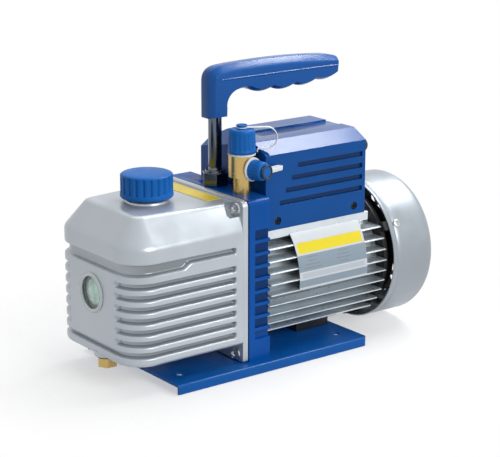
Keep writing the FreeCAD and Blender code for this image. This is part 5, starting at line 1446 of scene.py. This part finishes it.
def sheet_on_circle():
    """A closed curved sheet and its UV map: U along the pump, V up the plate."""
    steps, rows = 40, 12
    data = bmesh.new()
    uv = data.loops.layers.uv.new("UVMap")
    grid = []
    for i in range(steps + 1):
        angle = math.radians(START + SWEEP * i / steps)
        line = []
        for j in range(rows + 1):
            x = plate_low.x + (plate_high.x - plate_low.x) * j / rows
            line.append([data.verts.new(Vector((x, -r * math.cos(angle),
                                                AXIS.z + r * math.sin(angle))) * MM)
                         for r in (PLATE_R, PLATE_R - 0.35)])
        grid.append(line)

    def quad(cells):
        """A face of the sheet, with its UV corners."""
        face = data.faces.new([grid[i][j][k] for i, j, k in cells])
        for loop, (i, j, _) in zip(face.loops, cells):
            loop[uv].uv = (j / rows, i / steps)

    for i in range(steps):
        for j in range(rows):
            for k in (0, 1):
                quad([(i, j, k), (i, j + 1, k), (i + 1, j + 1, k), (i + 1, j, k)])
    for i in range(steps):
        for j in (0, rows):
            quad([(i, j, 0), (i + 1, j, 0), (i + 1, j, 1), (i, j, 1)])
    for j in range(rows):
        for i in (0, steps):
            quad([(i, j, 0), (i, j + 1, 0), (i, j + 1, 1), (i, j, 1)])
    bmesh.ops.recalc_face_normals(data, faces=data.faces)
    mesh = bpy.data.meshes.new("rating_plate_sheet")
    data.to_mesh(mesh)
    data.free()
    return mesh


plate = loose("rating_plate_sheet", sheet_on_circle())
print("plate sheet", len(plate.data.polygons), "faces")

# %% [markdown]
# The print is worked out from the UV map. A mask is 1 between two values of U or of V, two
# masks multiplied make a field, and every field lays its ink over what is below it. The
# short rules stand for lines of text.

# %% The plate's print


def inside(tree, value, low, high, soft=0.004):
    """A mask that is 1 where a UV value lies between low and high."""
    edges = ((low - soft, low + soft), (high + soft, high - soft))
    return math_step(tree, "MULTIPLY", *[
        add_node(tree, "ShaderNodeMapRange", Value=value, From_Min=start,
                 From_Max=stop).outputs["Result"] for start, stop in edges])


def plate_finish():
    """Brushed silver print sheet with a white head, a yellow band and ruled fields."""
    made = finish("printed_rating_plate", (0.62, 0.65, 0.68), metallic=0.25,
                  gloss=(0.28, 0.36), drift=(0.03, 60.0), depth=0.005,
                  lines=((0.1, 1, 1), 900.0))
    tree = made.node_tree
    base = tree.nodes["Principled BSDF"]
    colour = base.inputs["Base Color"].links[0].from_socket
    where = add_node(tree, "ShaderNodeUVMap", settings={"uv_map": "UVMap"})
    split = add_node(tree, "ShaderNodeSeparateXYZ", Vector=where.outputs["UV"])
    across, up = split.outputs["X"], split.outputs["Y"]
    field_grey = (0.26, 0.33, 0.39)
    fields = [((0.0, 1.0, 0.82, 1.0), (0.66, 0.70, 0.72)),
              ((0.03, 0.97, 0.61, 0.80), (0.80, 0.66, 0.02)),
              ((0.0, 1.0, 0.30, 0.58), field_grey),
              ((0.04, 0.96, 0.185, 0.275), (0.50, 0.55, 0.60)),
              ((0.0, 1.0, 0.03, 0.155), field_grey)]
    rules = ((0.16, 0.14), (0.12, 0.18), (0.22, 0.22), (0.26, 0.12))
    for row, lengths in enumerate(rules):
        v = 0.53 - 0.062 * row
        for centre, long in zip((0.20, 0.66), lengths):
            fields.append(((centre - long / 2, centre + long / 2, v, v + 0.014),
                           (0.22, 0.25, 0.28)))
    for (u0, u1, v0, v1), ink in fields:
        mask = math_step(tree, "MULTIPLY", inside(tree, across, u0, u1),
                         inside(tree, up, v0, v1))
        colour = mixed(tree, mask, colour, (*ink, 1))
    tree.links.new(colour, base.inputs["Base Color"])
    return made


finished(plate, "rating_plate", plate_finish())

# %% The caution strip
strip_low, strip_high = corners("caution_label")
strip = Blank().block((strip_low.x, strip_low.y, strip_low.z + 0.01),
                      (strip_high.x, strip_high.y, strip_high.z))
yellow = finish("yellow_strip", (0.80, 0.60, 0.02), gloss=(0.3, 0.42), drift=(0.06, 60.0),
                depth=0.01)
strip_piece = loose("caution_strip", strip.mesh("caution_strip"))
soften(strip_piece, 0.12, 2)
finished(strip_piece, "caution_label", yellow)

# %% [markdown]
# ## What stays hidden
# Vanes, rotors, windings, bearings and seals keep their solid form. Each still gets its own
# finish, because the part may be opened up or shown in section.

# %% Finish the remaining solids
for node, thing in frame["nodes"].items():
    thing.data.materials.clear()
    thing.data.materials.append(finishes.get(slot_of[node], finishes["zinc_steel"]))
print("solids still shown:", [n for n, t in frame["nodes"].items() if not t.hide_render])

# %% [markdown]
# ## Floor, light and camera
# The pump stands on a pale studio floor that fades into a white surround. A long, narrow
# lamp above the motor end draws the highlights on the hood, the box and the grip. A second
# one lights the long side with the rating plate, and a weak one the top. The world is a
# plain even grey for the object, and white for the camera and for reflections.

# %% The floor


def stage_floor():
    """A round sheet of paper that fades out under and round the pump."""
    disc = Blank().spin([(0, 0), (1400, 0)], aim((0, 0, -0.2)), 96)
    floor = loose("studio_floor", disc.mesh("studio_floor"))
    paper, tree, base = new_material("studio_paper", Base_Color=(0.96, 0.96, 0.96, 1),
                                     Roughness=0.9, Specular_IOR_Level=0.0)
    where = add_node(tree, "ShaderNodeTexCoord")
    reach = add_node(tree, "ShaderNodeVectorMath", where.outputs["Object"],
                     settings={"operation": "LENGTH"})
    fade = add_node(tree, "ShaderNodeMapRange", settings={"interpolation_type": "SMOOTHSTEP"},
                    Value=reach.outputs["Value"], From_Min=0.10, From_Max=0.30,
                    To_Min=0.55, To_Max=0.0)
    tree.links.new(fade.outputs["Result"], base.inputs["Alpha"])
    floor.data.materials.append(paper)
    print("floor", [round(v, 2) for v in floor.dimensions])


stage_floor()

# %% World and lamps
world = bpy.data.worlds.new("studio")
scene.world = world
world.use_nodes = True
sky = world.node_tree
sky.nodes.clear()
ray = add_node(sky, "ShaderNodeLightPath").outputs
seen = math_step(sky, "MAXIMUM", math_step(sky, "MAXIMUM", ray["Is Camera Ray"],
                                           ray["Is Glossy Ray"]), ray["Is Transmission Ray"])
ambient = add_node(sky, "ShaderNodeBackground", Color=(0.93, 0.96, 1.0, 1), Strength=0.38)
surround = add_node(sky, "ShaderNodeBackground", Color=(1, 1, 1, 1), Strength=1.0)
both = add_node(sky, "ShaderNodeMixShader", seen, ambient.outputs["Background"],
                surround.outputs["Background"])
add_node(sky, "ShaderNodeOutputWorld", Surface=both.outputs["Shader"])


def softbox(name, at, wide, high, watts):
    """A rectangular area lamp, aimed at the pump."""
    lamp = bpy.data.lights.new(name, "AREA")
    lamp.shape = "RECTANGLE"
    lamp.size = wide
    lamp.size_y = high
    lamp.energy = watts
    thing = bpy.data.objects.new(name, lamp)
    scene.collection.objects.link(thing)
    thing.location = at
    thing.rotation_euler = (Vector((0, 0, 0.11)) - Vector(at)).to_track_quat("-Z", "Y").to_euler()


softbox("key_softbox", (0.89, 0.02, 1.30), 0.95, 0.24, 15)
softbox("top_softbox", (0.1, 0.5, 1.5), 1.0, 1.0, 3)
softbox("fill_softbox", (0.15, -1.55, 0.85), 0.8, 0.6, 15)
print("lamps", [lamp.name for lamp in bpy.data.lights])

# %% The camera
scene.view_settings.view_transform = "Standard"
camera_lens = bpy.data.cameras.new("camera")
camera_lens.sensor_width = 36.0
camera_lens.lens = 118.47
camera_lens.shift_x = 0.0207
camera_lens.shift_y = -0.01066
camera_lens.clip_start = 0.05
camera = bpy.data.objects.new("camera", camera_lens)
scene.collection.objects.link(camera)
camera.location = (-0.8262, -1.0899, 0.4837)
looks_at = Vector((-0.009, 0, 0.110))
camera.rotation_euler = (looks_at - camera.location).to_track_quat("-Z", "Y").to_euler()
scene.camera = camera
print("camera", round(camera_lens.lens), "mm,", round((looks_at - camera.location).length, 2), "m away")
